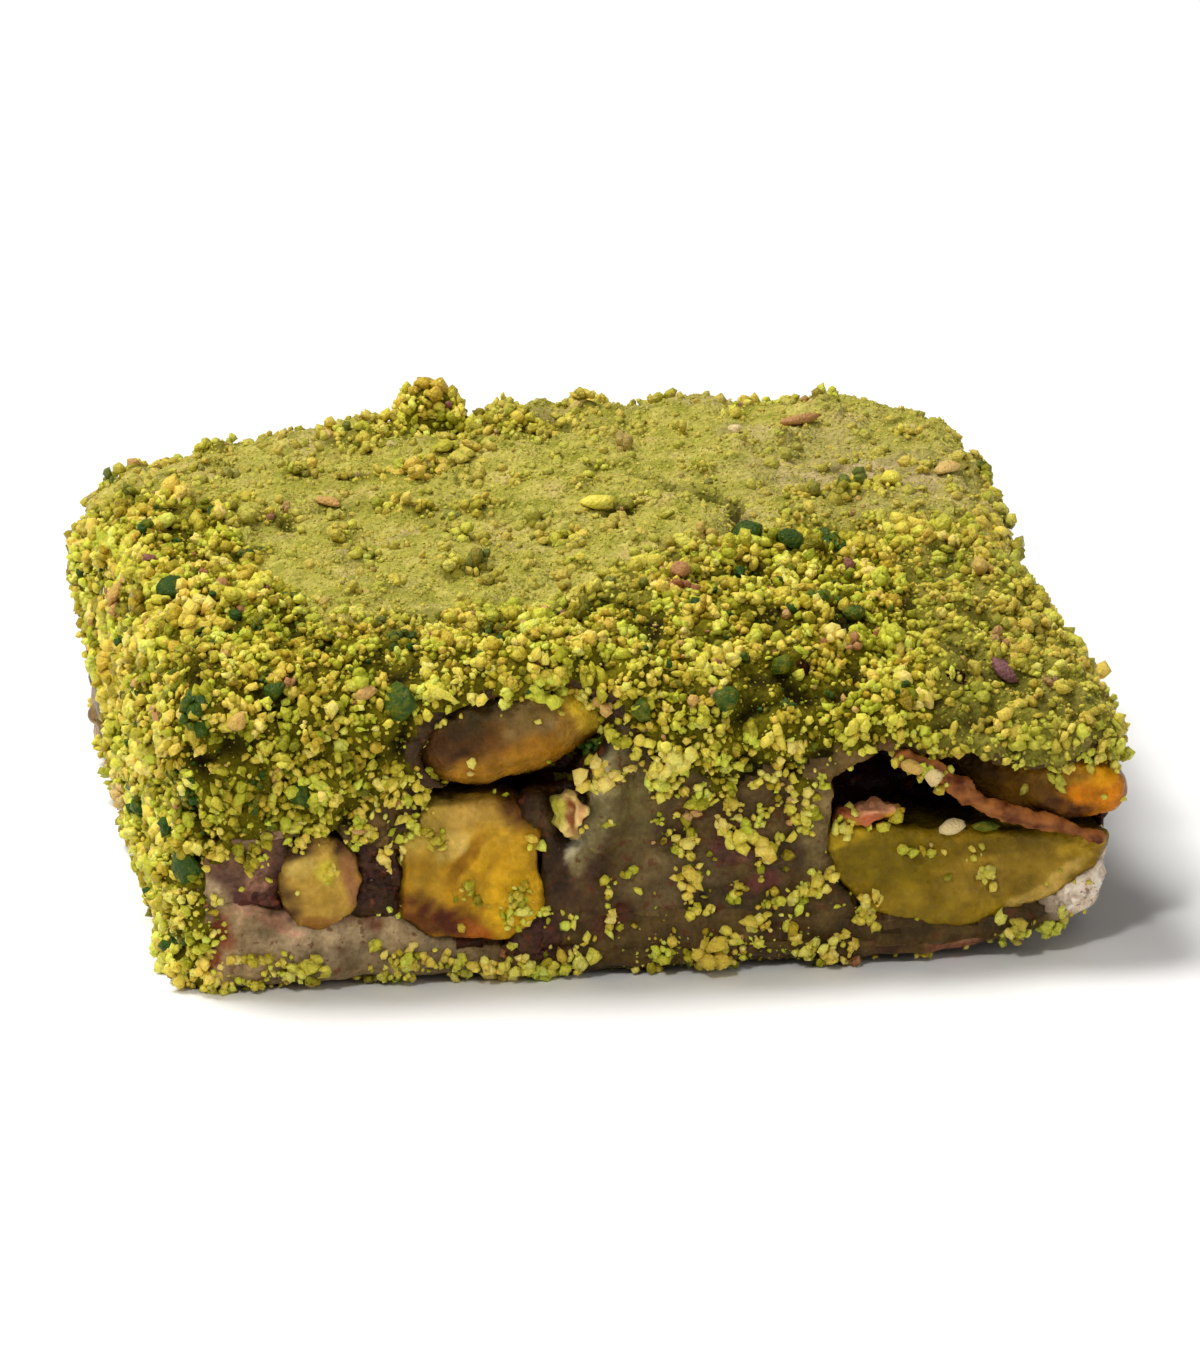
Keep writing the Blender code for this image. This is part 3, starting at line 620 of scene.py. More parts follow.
def crack_at(points, width=CRACK_WIDTH):
    """1 in the crack of the pressed powder, 0 beside it; a larger width takes in the powder round it."""
    wander = 0.25 * noise_at(points, 0.9 * MM)
    x, y = points[:, 0] / MM + wander, points[:, 1] / MM + wander
    share = np.zeros(len(points))
    for (start_x, start_y), (end_x, end_y) in zip(CRACK, CRACK[1:]):
        run_x, run_y = end_x - start_x, end_y - start_y
        along = ((x - start_x) * run_x + (y - start_y) * run_y) / (run_x**2 + run_y**2)
        along = np.clip(along, 0, 1)
        away = np.hypot(x - start_x - along * run_x, y - start_y - along * run_y)
        share = np.maximum(share, smooth_share(1.6 - away / width))
    return share * (points[:, 2] > 10 * MM)


def sticking_at(points):
    """Where clumps of crumbs stick to the front side."""
    x, y, z = points.T / MM
    share = np.zeros(len(points))
    for middle_x, middle_z, reach in FRONT_CLUMPS:
        share = np.maximum(share, smooth_share(1.5 - np.hypot(x - middle_x, z - middle_z) / reach))
    return share * (y < FRONT / MM + 2.5)


# Painted colours: on the front side, a base and spots over it. Each spot is its place (x, z), its
# reach (along, over) in mm, its turn in degrees, and its colour

BROWN_JELLY = (0.098, 0.058, 0.014)
GREY_JELLY = (0.330, 0.222, 0.102)
DARK_BROWN = (0.050, 0.022, 0.007)
DARK_PASTE = (0.040, 0.013, 0.007)
DEEP_RED = (0.095, 0.020, 0.007)
PURPLE = (0.110, 0.036, 0.024)
# Painted shade far inside the open hollows, partly their own dark red
HOLLOW_SHADE_RED = (0.022, 0.004, 0.0015)
PINK_JELLY = (0.860, 0.670, 0.490)

FRONT_PAINT = {
    "lokum_top": (BROWN_JELLY, (
        (-18.5, 7.6, 2.6, 1.2, 0, (0.24, 0.140, 0.075)),
        (0.8, 4.4, 2.6, 1.6, 0, (0.150, 0.098, 0.034)),
        (7.4, 6.8, 1.0, 2.4, 0, (0.200, 0.135, 0.045)),
        # Painted shade: in the crevice under the upper kernel, and in its pocket under the overhanging coat
        (-6.6, 9.0, 5.2, 1.3, 0, DARK_BROWN),
        (-6.3, 11.4, 5.2, 3.0, 12, (0.030, 0.012, 0.004)),
        (-3.6, 5.2, 1.5, 2.2, 0, (0.052, 0.024, 0.009)),
        (-3.2, 8.2, 0.7, 2.4, -20, DARK_BROWN),
        (2.8, 3.4, 1.9, 1.0, 10, (0.066, 0.040, 0.014)),
        (0.4, 6.6, 1.8, 0.8, -20, (0.070, 0.044, 0.012)),
        (5.6, 5.4, 1.2, 0.9, 40, (0.062, 0.036, 0.012)),
        (3.6, 6.1, 1.2, 0.8, 20, PURPLE),
        (4.9, 4.3, 0.8, 0.4, 0, (0.16, 0.042, 0.030)),
        (-1.9, 3.0, 0.8, 0.5, 30, (0.10, 0.020, 0.010)),
        (-1.2, 8.6, 1.2, 2.4, 0, (0.120, 0.088, 0.024)),
        # The torn flap: its pale film, and two paler streaks that are partly the film and partly painted
        # highlight
        (-2.5, 8.4, 3.3, 0.60, 73, (0.290, 0.230, 0.085)),
        (-2.3, 9.9, 1.2, 0.28, 73, (0.500, 0.430, 0.210)),
        (-3.4, 6.5, 0.9, 0.30, 60, (0.560, 0.480, 0.270)),
    )),
    "lokum_bottom": (BROWN_JELLY, (
        (-18.0, 2.0, 10.5, 4.0, 0, GREY_JELLY),
        (-14.5, 2.2, 4.0, 0.8, -6, (0.420, 0.300, 0.155)),
        (-10.4, 2.0, 2.0, 0.7, 0, (0.380, 0.265, 0.130)),
        (-16.9, 4.2, 1.8, 0.75, -28, (0.075, 0.026, 0.017)),
        (-17.6, 3.4, 1.9, 0.22, -30, (0.460, 0.230, 0.130)),
        (-13.4, 3.5, 1.3, 0.45, 14, (0.110, 0.030, 0.018)),
        (-19.4, 3.1, 0.5, 0.8, 20, (0.24, 0.050, 0.014)),
        (-19.9, 1.9, 0.4, 0.6, 0, (0.22, 0.050, 0.014)),
        (-12.7, 2.9, 0.4, 0.4, 0, (0.14, 0.035, 0.010)),
        (-17.3, 3.4, 0.6, 0.3, 0, (0.44, 0.220, 0.125)),
        (-5.0, 1.5, 1.4, 0.7, 0, (0.055, 0.020, 0.012)),
        (10.6, 1.2, 1.0, 0.5, 0, (0.085, 0.028, 0.014)),
        (13.5, 0.9, 1.2, 0.5, 0, (0.34, 0.130, 0.065)),
        (19.9, 3.2, 2.0, 1.6, 40, PINK_JELLY),
        (15.4, 1.9, 1.3, 0.3, 14, (0.40, 0.120, 0.065)),
    )),
    "cocoa_paste": (BROWN_JELLY, (
        (-16.5, 5.8, 6.5, 3.4, 0, DARK_PASTE),
        (-19.0, 6.3, 2.1, 1.4, -20, (0.420, 0.215, 0.120)),
        (-20.4, 5.1, 1.5, 0.9, -35, (0.400, 0.280, 0.140)),
        (-18.6, 4.9, 1.8, 0.45, -38, PURPLE),
        (-18.2, 7.2, 0.9, 0.5, 0, (0.480, 0.300, 0.190)),
        (-16.9, 5.0, 0.6, 1.4, 0, (0.085, 0.024, 0.012)),
        (-9.2, 2.4, 2.6, 1.1, -20, DEEP_RED),
        (-5.4, 2.2, 1.3, 1.2, 0, (0.060, 0.022, 0.014)),
        (-2.0, 2.8, 0.9, 0.7, 0, (0.085, 0.020, 0.012)),
        (19.8, 3.7, 2.2, 1.4, 30, PINK_JELLY),
    )),
    "pistachio_round": ((0.43, 0.225, 0.008), (
        (-10.3, 7.4, 1.7, 1.5, 30, (0.52, 0.370, 0.070)),
        (-8.0, 7.3, 1.6, 1.2, 0, (0.52, 0.330, 0.080)),
        (-7.2, 5.6, 2.0, 2.0, 0, (0.60, 0.350, 0.016)),
        (-5.6, 8.2, 1.6, 1.1, -20, (0.105, 0.038, 0.008)),
        (-8.7, 5.9, 1.4, 0.45, 50, (0.30, 0.140, 0.004)),
        (-10.4, 4.9, 0.9, 1.2, 0, (0.46, 0.270, 0.020)),
        (-6.5, 3.9, 1.4, 1.4, 0, (0.74, 0.440, 0.014)),
        # A small pale spot on the upper left: painted highlight
        (-9.2, 6.7, 0.8, 0.5, 40, (0.66, 0.470, 0.130)),
        (-9.7, 3.1, 2.4, 0.85, -28, DEEP_RED),
        (-7.9, 2.4, 1.0, 0.5, -30, (0.42, 0.120, 0.014)),
        # The dark band down its right edge: painted shade in the gap beside it
        (-4.9, 5.6, 0.5, 2.8, 0, (0.15, 0.050, 0.006)),
    )),
    "pistachio_chip": ((0.49, 0.310, 0.058), (
        (-16.9, 6.8, 2.1, 1.2, 35, DARK_PASTE),
        (-13.4, 6.9, 1.5, 1.1, -40, DARK_PASTE),
        (-17.1, 4.4, 0.8, 1.8, 20, (0.080, 0.028, 0.012)),
        (-15.2, 3.2, 1.4, 0.4, 6, (0.26, 0.100, 0.026)),
        (-13.6, 4.9, 0.4, 1.5, 14, (0.34, 0.160, 0.065)),
        (-14.7, 5.7, 0.5, 0.5, 0, (0.62, 0.540, 0.060)),
        (-15.8, 5.9, 0.7, 0.5, 30, (0.56, 0.400, 0.110)),
    )),
    "pistachio_upper": ((0.175, 0.073, 0.010), (
        # The dark top left and top band: partly the film of jelly over it, partly painted shade under the
        # overhanging coat
        (-9.7, 11.4, 1.9, 1.6, 12, (0.064, 0.026, 0.005)),
        (-7.6, 12.9, 2.6, 0.8, 14, (0.064, 0.042, 0.013)),
        (-5.4, 12.5, 1.7, 0.8, 14, (0.250, 0.165, 0.062)),
        (-4.9, 10.9, 2.4, 1.0, 12, (0.42, 0.195, 0.011)),
        (-7.2, 10.1, 2.6, 0.8, 6, (0.33, 0.160, 0.014)),
        (-3.8, 12.0, 0.9, 1.1, 12, (0.34, 0.180, 0.030)),
        (-2.7, 12.8, 1.2, 1.3, 0, (0.74, 0.530, 0.040)),
    )),
    "pistachio_half": ((0.235, 0.150, 0.003), (
        (10.4, 5.0, 2.6, 1.3, -10, (0.200, 0.140, 0.003)),
        (12.2, 2.7, 2.4, 0.9, 0, (0.270, 0.180, 0.012)),
        (15.8, 4.2, 3.0, 1.2, 10, (0.290, 0.185, 0.018)),
        (8.6, 5.9, 1.1, 0.4, 8, (0.44, 0.300, 0.012)),
        (15.5, 5.3, 2.4, 0.35, 0, (0.170, 0.110, 0.006)),
        (19.6, 5.0, 1.2, 0.5, 0, (0.50, 0.330, 0.028)),
        (17.6, 3.35, 2.2, 0.32, 28, (0.58, 0.400, 0.110)),
        (18.2, 2.95, 2.4, 0.24, 28, (0.060, 0.018, 0.006)),
    )),
    # Corner kernel: the dark base and the darker spot under it are partly painted shade where it sits
    # recessed; the bright right end is partly its orange, partly a painted glow of light through it
    "pistachio_corner": ((0.130, 0.058, 0.002), (
        (20.4, 7.7, 1.8, 2.2, 0, (0.66, 0.225, 0.001)),
        (20.0, 8.8, 1.3, 0.6, 0, (0.86, 0.400, 0.006)),
        (18.6, 8.9, 1.6, 0.6, 0, (0.27, 0.135, 0.006)),
        (18.2, 7.0, 1.8, 0.6, 0, (0.045, 0.014, 0.002)),
    )),
    "pistachio_fragment": ((0.84, 0.660, 0.270), (
        (-4.0, 7.9, 0.26, 0.9, 24, (0.24, 0.075, 0.026)),
        (-4.7, 8.3, 0.28, 0.9, 24, (0.50, 0.500, 0.060)),
        (-4.2, 6.8, 0.5, 0.3, 0, (0.15, 0.110, 0.020)),
        (-3.5, 8.2, 0.25, 0.6, 24, (0.62, 0.330, 0.180)),
    )),
    "pistachio_shard": ((0.42, 0.120, 0.055), (
        (11.1, 7.0, 0.9, 0.7, 0, (0.58, 0.350, 0.015)),
        (8.6, 6.6, 0.9, 0.4, 0, (0.55, 0.330, 0.030)),
        (9.9, 7.3, 0.9, 0.25, 0, (0.62, 0.300, 0.190)),
    )),
}
# How crumbly the front is, as cocoa paste is: spots as above, with a share in place of a colour
CRUMBLY = (
    (-12.8, 5.9, 2.0, 2.4, 0, 1.0),
    (-17.4, 4.6, 1.8, 0.7, -30, 0.7),
    (-5.2, 1.8, 1.6, 0.8, 0, 0.6),
    (3.6, 6.1, 1.2, 0.9, 20, 0.5),
)

# The kernels on the hidden sides: which of x and y the cut face looks along, its colour and its rim's
HIDDEN_KERNELS = {
    "pistachio_right": (0, (0.300, 0.210, 0.010), (0.180, 0.075, 0.006)),
    "pistachio_back": (1, (0.520, 0.340, 0.030), (0.240, 0.095, 0.006)),
    "pistachio_back_end": (1, (0.600, 0.370, 0.020), (0.200, 0.060, 0.006)),
}


def spots_at(points, spots, softness):
    """For each spot in turn, what it holds and how much of it each point takes."""
    x = points[:, 0] / MM + 0.35 * noise_at(points, 1.3 * MM, 5.0) + 0.12 * noise_at(points, 0.4 * MM)
    z = points[:, 2] / MM + 0.35 * noise_at(points, 1.3 * MM, 9.0) + 0.12 * noise_at(points, 0.4 * MM, 3.0)
    broken = np.clip(0.90 + 0.55 * noise_at(points, 0.5 * MM, 17.0), 0, 1)
    for middle_x, middle_z, reach_along, reach_over, turn, held in spots:
        cosine, sine = math.cos(math.radians(turn)), math.sin(math.radians(turn))
        across, up = x - middle_x, z - middle_z
        along = (across * cosine + up * sine) / reach_along
        over = (up * cosine - across * sine) / reach_over
        yield held, broken * smooth_share((1 + softness / 2 - np.hypot(along, over)) / softness)


def painted_front(points, base, spots):
    """The colour at each point of a piece on the front side."""
    colours = np.tile(np.array(base), (len(points), 1))
    for colour, share in spots_at(points, spots, 0.7):
        colours += share[:, None] * (np.array(colour) - colours)
    return colours


def near_front(points):
    """1 on the front side, 0 from a little way behind it."""
    return fall(points[:, 1] - FRONT, 2.5, 1.5)


def painted_layer(node, points):
    """A layer's colours: as seen on the front, and in patches on the other sides."""
    base, spots = FRONT_PAINT[node]
    colours = painted_front(points, base, spots)
    cloudy = 1 + 0.52 * noise_at(points, 2.4 * MM, 41.0) + 0.34 * noise_at(points, 0.9 * MM, 43.0)
    colours *= cloudy[:, None]
    patches = smooth_share(noise_at(points, 6.0 * MM) * 1.6 + 0.5)[:, None]
    if node == "cocoa_paste":
        elsewhere = patches * np.array(PURPLE) + (1 - patches) * np.array(DARK_PASTE)
    else:
        elsewhere = patches * np.array(GREY_JELLY) + (1 - patches) * np.array(BROWN_JELLY)
    near = near_front(points)[:, None]
    return near * colours + (1 - near) * elsewhere


def crumbly_at(node, points):
    """How crumbly each point of a layer is."""
    share = np.zeros(len(points))
    for amount, part in spots_at(points, CRUMBLY, 0.6):
        share = np.maximum(share, amount * part)
    near = near_front(points)
    return near * share + (1 - near) * (node == "cocoa_paste")


def hollow_shade_at(points):
    """1 well inside the open hollows of the front side, 0 on its face: where their painted shade goes."""
    y = points[:, 1]
    return rise(y - FRONT, 0.35, 1.1) * fall(y, 2.0, 2.0)


def beside_kernels(points):
    """1 against a kernel or its skin, falling to 0 at some distance from it."""
    reach = 0.9 * MM
    found = (KERNEL_TREE.find_nearest(Vector(point), reach)[3] for point in points)
    away = np.array([reach if distance is None else distance for distance in found])
    return smooth_share(1 - away / reach)


# Surfaces


def joined(meshes):
    """One bmesh of several meshes."""
    bm = bmesh.new()
    for mesh in meshes:
        bm.from_mesh(mesh)
    return bm


def mesh_of(bm, name):
    """The bmesh as a plain mesh; the bmesh is freed."""
    mesh = bpy.data.meshes.new(name)
    bm.to_mesh(mesh)
    bm.free()
    return mesh


def add_part(whole, bm):
    """Adds a bmesh to another one, and frees it."""
    mesh = mesh_of(bm, "part")
    whole.from_mesh(mesh)
    bpy.data.meshes.remove(mesh)


def search_tree(meshes):
    """A tree that finds the nearest point and the first hit on these meshes."""
    bm = joined(meshes)
    tree = BVHTree.FromBMesh(bm)
    bm.free()
    return tree


def arrays_of(mesh):
    """The mesh's points and normals as arrays."""
    points = np.empty(len(mesh.vertices) * 3, np.float32)
    normals = np.empty(len(mesh.vertices) * 3, np.float32)
    mesh.vertices.foreach_get("co", points)
    mesh.vertex_normals.foreach_get("vector", normals)
    return points.reshape(-1, 3).astype(float), normals.reshape(-1, 3).astype(float)


def set_points(mesh, points):
    """Moves the mesh's points."""
    mesh.vertices.foreach_set("co", points.astype(np.float32).ravel())
    mesh.update()


def set_values(mesh, name, values):
    """Keeps a number at each point of the mesh."""
    made = mesh.attributes.new(name, "FLOAT", "POINT")
    made.data.foreach_set("value", np.array(values, np.float32))


def set_share(mesh, name, values):
    """Keeps a number from 0 to 1 at each point of the mesh."""
    set_values(mesh, name, np.clip(values, 0, 1))


def set_paint(mesh, colours):
    """Keeps a colour at each point of the mesh."""
    made = mesh.attributes.new("paint", "FLOAT_COLOR", "POINT")
    opaque = np.column_stack([np.clip(colours, 0, 1), np.ones(len(colours))])
    made.data.foreach_set("color", opaque.astype(np.float32).ravel())


def applied(made):
    """Turns the object's modifiers into its plain mesh."""
    bpy.context.view_layer.update()
    graph = bpy.context.evaluated_depsgraph_get()
    mesh = bpy.data.meshes.new_from_object(made.evaluated_get(graph))
    made.modifiers.clear()
    made.data = mesh
    return made


def even_copy(name, node, voxel, rounds):
    """A copy of a frame node with an even, fine mesh, rubbed smooth."""
    bm = joined([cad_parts[node].data])
    bmesh.ops.remove_doubles(bm, verts=bm.verts[:], dist=1e-6)
    made = add_object(name, mesh_of(bm, name))
    remesh = made.modifiers.new("even", "REMESH")
    remesh.mode = "VOXEL"
    remesh.voxel_size = voxel
    rub = made.modifiers.new("rub", "SMOOTH")
    rub.factor = 0.5
    rub.iterations = rounds
    applied(made)
    made.data.shade_smooth()
    return made


def two_finishes(mesh, coat):
    """Gives the coated faces the coat's material and the others the jelly's."""
    mesh.materials.clear()
    mesh.materials.append(COAT)
    mesh.materials.append(JELLY)
    corners = np.empty(len(mesh.loops), np.int32)
    mesh.loops.foreach_get("vertex_index", corners)
    starts = np.empty(len(mesh.polygons), np.int32)
    mesh.polygons.foreach_get("loop_start", starts)
    share = np.add.reduceat(coat[corners], starts) / np.diff(np.append(starts, len(corners)))
    mesh.polygons.foreach_set("material_index", (share < 0.5).astype(np.int32))
    mesh.update()


def replace_node(made, node):
    """Lets the piece stand in for a frame node, on the one body."""
    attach(made, "root")
    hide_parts(node)
    return made


def pit_at(points):
    """1 in the shallow pit of the pressed powder."""
    x, y = points[:, 0] / MM, points[:, 1] / MM
    away = np.hypot(x - PIT[0], y - PIT[1]) / PIT_REACH + 0.3 * noise_at(points, 1.0 * MM)
    return smooth_share(1.3 - away) * (points[:, 2] > 10 * MM)


def clumps_at(points):
    """How far the clumps of loose crumbs stand out, in mm, with gaps between them."""
    wander = 0.5 * MM * np.column_stack([noise_at(points, 1.5 * MM, shift) for shift in (0, 7, 13)])
    clumps = 0.90 * (lumps_at(points + wander, 2.3 * MM) - 0.62) + 0.36 * noise_at(points, 1.7 * MM)
    return clumps + 0.36 * (lumps_at(points, 0.95 * MM) - 0.55)


def coat_relief(points, loose, clumps):
    """How far the coat stands out: lumpy where it is loose, gently waved where it is pressed."""
    pressed = 0.26 * noise_at(points, 3.4 * MM) + 0.30 * (lumps_at(points, 0.95 * MM) - 0.5)
    pressed += 0.24 * noise_at(points, 1.3 * MM) + 0.10 * noise_at(points, 0.5 * MM)
    pressed -= CRACK_DEPTH * crack_at(points) + PIT_DEPTH * pit_at(points)
    run_in = 0.35 * rise(points[:, 0], 17.5, 1.5) * (points[:, 1] > -13 * MM)
    return MM * (loose * clumps + (1 - loose) * pressed - 0.45 * clump_at(points) - run_in)


def seam_growth(node, points, normals):
    """How far the faces between the layers and kernels move out, so that the pieces meet."""
    x, _, z = points.T / MM
    facing = np.abs(normals[:, 2]) if node == "cocoa_paste" else normals[:, 2]
    facing = -facing if node == "lokum_top" else facing
    reach = 0.24 + 0.14 * smooth_share((x + 4.0) / 2.0)
    return reach * MM * smooth_share((facing - 0.15) / 0.5) * (z > 0.6) * (z < 9.5) * closed_at(points)


def closed_at(points):
    """0 around the open hollows of the front side, 1 elsewhere."""
    x, _, z = points.T / MM
    return 1 - np.maximum((x > 7.4) * (z > 5.2), (x > -11.6) * (x < -0.8) * (z > 8.2))


def flap_at(points):
    """1 on the torn flap of jelly on the front side."""
    x, y, z = points.T / MM
    along, over = (z - 8.4) / 3.4, (x + 2.6 - 0.30 * (z - 8.4)) / 0.9
    return smooth_share(1.4 - np.hypot(along, over)) * (y < FRONT / MM + 2)


def cut_relief(points, normals, crumbly, beside, pale):
    """How far the bare faces of a layer stand out, in mm: most by the kernels, least at the pale corner."""
    x, y, z = points.T
    cut = 0.08 + 0.32 * noise_at(points, 2.4 * MM) + 0.14 * noise_at(points, 0.8 * MM)
    cut += 0.42 * flap_at(points) * noise_at(points, 0.62 * MM) + 0.75 * patch_at(x, z, PASTE_SWELL)
    walls = beside * smooth_share((0.85 - np.abs(normals[:, 1])) / 0.3) * closed_at(points)
    cut += walls * (0.30 + 0.42 * noise_at(points, 1.2 * MM, 23.0))
    lumps = 0.34 * (lumps_at(points, 0.9 * MM) - 0.40) + 0.12 * noise_at(points, 0.45 * MM)
    cut += crumbly * smooth_share((0.7 - np.abs(normals[:, 2])) / 0.3) * lumps
    return cut * (1 - 0.85 * pale * fall(y, -14.0, 1.5))


def keep_shares(mesh, points, coat, loose, clumps, crumbly):
    """Keeps at each point of a layer what its materials and its crumbs go by."""
    x, y, _ = points.T
    set_share(mesh, "loose", loose)
    set_share(mesh, "crumbly", crumbly)
    set_share(mesh, "own", own_tone_at(points, 0.95 * MM))
    # Painted shadow for the coat's material: in the gaps between clumps, in the crack and in the pit
    cracked = np.maximum(0.92 * crack_at(points), 0.40 * pit_at(points))
    deep = loose * smooth_share((0.10 - clumps) / 0.40)
    set_share(mesh, "deep", np.maximum(deep, cracked))
    set_share(mesh, "standing", 1 - 0.90 * loose * smooth_share((0.14 - clumps) / 0.28))
    # Crumbs in the gaps between clumps take painted shade
    set_share(mesh, "sunken", loose * coat * smooth_share((0.26 - clumps) / 0.50) * (1 - clump_at(points)))
    streaky = 0.45 * smooth_share(noise_at(points, 2.8 * MM, 21.0) * 3.0 - 0.6)
    cast = np.maximum(patch_at(x, y, GREY_CAST), streaky)
    set_share(mesh, "cast", cast + 0.20 * noise_at(points, 1.2 * MM))


def dress_layer(name, node, voxel):
    """A layer of the block: its relief, how coated and loose each point is, and its painted colours."""
    made = even_copy(name, node, voxel, 3)
    mesh = made.data
    points, normals = arrays_of(mesh)
    x, _, z = points.T
    coat = coat_at(points, normals)
    if node == "lokum_bottom":
        coat *= z > 0.3 * MM
    loose, crumbly, clumps = loose_at(points), crumbly_at(node, points), clumps_at(points)
    beside = beside_kernels(points)
    pale = rise(x, 16.8, 1.0) * (z < 6 * MM)
    cut = cut_relief(points, normals, crumbly, beside, pale)
    height = coat * coat_relief(points, loose, clumps) + (1 - coat) * cut * MM
    height += (1 - coat) * seam_growth(node, points, normals)
    height *= rise(z, 0.0, 0.4)

    colours = painted_layer(node, points)
    # Darker round the kernels and their skin: partly the dark paste there, partly painted shade in the gap
    # between nut and jelly; none at the pale corner
    paste_and_shade_by_kernels = beside * smooth_share(noise_at(points, 1.1 * MM) + 0.75) * (1 - pale)
    colours *= 1 - 0.78 * paste_and_shade_by_kernels[:, None]
    # Painted shade far inside the open hollows of the front side, partly their own dark red
    if node == "lokum_top":
        colours += hollow_shade_at(points)[:, None] * (np.array(HOLLOW_SHADE_RED) - colours)
    moved = points + normals * height[:, None]
    moved[:, 2] = np.maximum(moved[:, 2], 0.0)
    set_points(mesh, moved)
    keep_shares(mesh, points, coat, loose, clumps, crumbly)
    set_paint(mesh, colours)
    two_finishes(mesh, coat)
    return replace_node(made, node)


def streaks_at(points, low, high):
    """Fine streaks along the longest side of a kernel."""
    longest = int(np.argmax(high - low))
    stretched = points.copy()
    stretched[:, longest] /= 5.0
    return noise_at(stretched, 0.28 * MM)


def dress_kernel(node):
    """A kernel grown to fill its place in the jelly, with its streaks, its own colours and painted shade at
    its edges.
    """
    low, high = (np.array(corner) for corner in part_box(node))
    scrap = node in ("pistachio_fragment", "pistachio_shard")
    voxel = 0.11 * MM if scrap else 0.15 * MM if node in FRONT_PAINT else 0.20 * MM
    made = even_copy(node + "_kernel", node, voxel, 3 if scrap else 10)
    points, normals = arrays_of(made.data)
    streaks = streaks_at(points, low, high)
    if scrap:
        height = 0.04 + 0.36 * noise_at(points, 0.8 * MM) + 0.20 * noise_at(points, 0.35 * MM)
    else:
        height = 0.20 + 0.34 * noise_at(points, 2.3 * MM) + 0.09 * noise_at(points, 0.8 * MM)
        height += 0.05 * noise_at(points, 0.3 * MM) + 0.03 * streaks
    if node in FRONT_PAINT:
        colours = painted_front(points, *FRONT_PAINT[node])
        # Darker further behind the front face and on faces that turn away from it: partly the kernel's
        # darker rim, partly painted shade in the gap round it
        inward = rise(points[:, 1] - low[1], 0.7, 1.2)[:, None]
        edge = smooth_share((0.80 + normals[:, 1]) / 0.5 + 0.3 * noise_at(points, 0.9 * MM))[:, None]
        patchy = 1 + 0.26 * noise_at(points, 1.5 * MM, 51.0) + 0.22 * noise_at(points, 0.55 * MM, 53.0)
        colours *= (1 - 0.6 * inward) * (1 - 0.50 * edge) * patchy[:, None]
    else:
        facing, core, rim = HIDDEN_KERNELS[node]
        offsets = np.delete((points - (low + high) / 2) / (high - low) * 2, facing, axis=1)
        away = np.linalg.norm(offsets, axis=1) + 0.25 * noise_at(points, 0.9 * MM)
        share = smooth_share((away - 0.60) / 0.45)[:, None]
        patchy = 1 + 0.35 * noise_at(points, 1.5 * MM, 51.0) + 0.22 * noise_at(points, 0.55 * MM, 53.0)
        colours = (np.array(core) + share * (np.array(rim) - np.array(core))) * patchy[:, None]
    colours *= (1 + 0.10 * streaks)[:, None]
    set_points(made.data, points + normals * height[:, None] * MM)
    set_paint(made.data, colours)
    made.data.materials.append(KERNEL)
    return replace_node(made, node)


def dress_skin():
    """The strip of skin over the hollow, ragged along its edges."""
    made = even_copy("skin_strip", "pistachio_skin", 0.09 * MM, 2)
    points, normals = arrays_of(made.data)
    flat = normals * np.array([1.0, 0.4, 1.0])
    wide_end = fall(points[:, 0], 15.5, 4.0)
    height = 0.10 + 0.16 * wide_end + 0.26 * noise_at(points, 0.9 * MM) + 0.14 * noise_at(points, 0.4 * MM)
    set_points(made.data, points + flat * height[:, None] * MM)
    made.data.materials.append(SKIN)
    return replace_node(made, "pistachio_skin")


# Crumbs

# A crumb of so many lumps: their least and greatest radius, and how far from its middle they lie
LUMPS = {1: ((1.0, 1.0), 0.0), 4: ((0.38, 0.68), 0.56), 11: ((0.22, 0.46), 0.68)}
# In how many places a lump is broken flat, and how many shapes of crumbs and of grains there are
BREAKS = 2
CRUMB_SHAPES = 9
GRAIN_SHAPES = 5
# The seeds of the shapes of the scattered crumbs and of the single bits
SHAPE_SEED = 3
BIT_SEED = 7

# The tones of crumbs, from 0, dark green, to 1, pale yellow: each crumb's own, how far that drifts
# over this size, what it settles to in pressed powder and how far, what painted shade in a gap takes
# from it and a fresh clump adds, and the lightest of all
OWN_TONES = (0.32, 1.08)
TONE_DRIFT = 1.1
DRIFT_SIZE = 2.4 * MM
SETTLED_TONE = 0.58
SETTLING = 0.72
GAP_SHADE = -0.42
FRESH_LIGHT = 0.24
LIGHTEST_TONE = 0.90


def any_way(draw):
    """A random direction."""
    return Vector([draw.gauss(0, 1) for _ in range(3)]).normalized()


def roughened(bm, draw, low, high):
    """Roughens a ball of radius 1, out to these radii, and breaks it flat in a few places."""
    for vertex in bm.verts:
        vertex.co *= draw.uniform(low, high)
    for _ in range(BREAKS):
        facing = any_way(draw)
        reach = draw.uniform(0.50, 0.85)
        for vertex in bm.verts:
            over = vertex.co.dot(facing) - reach
            if over > 0:
                vertex.co -= facing * over


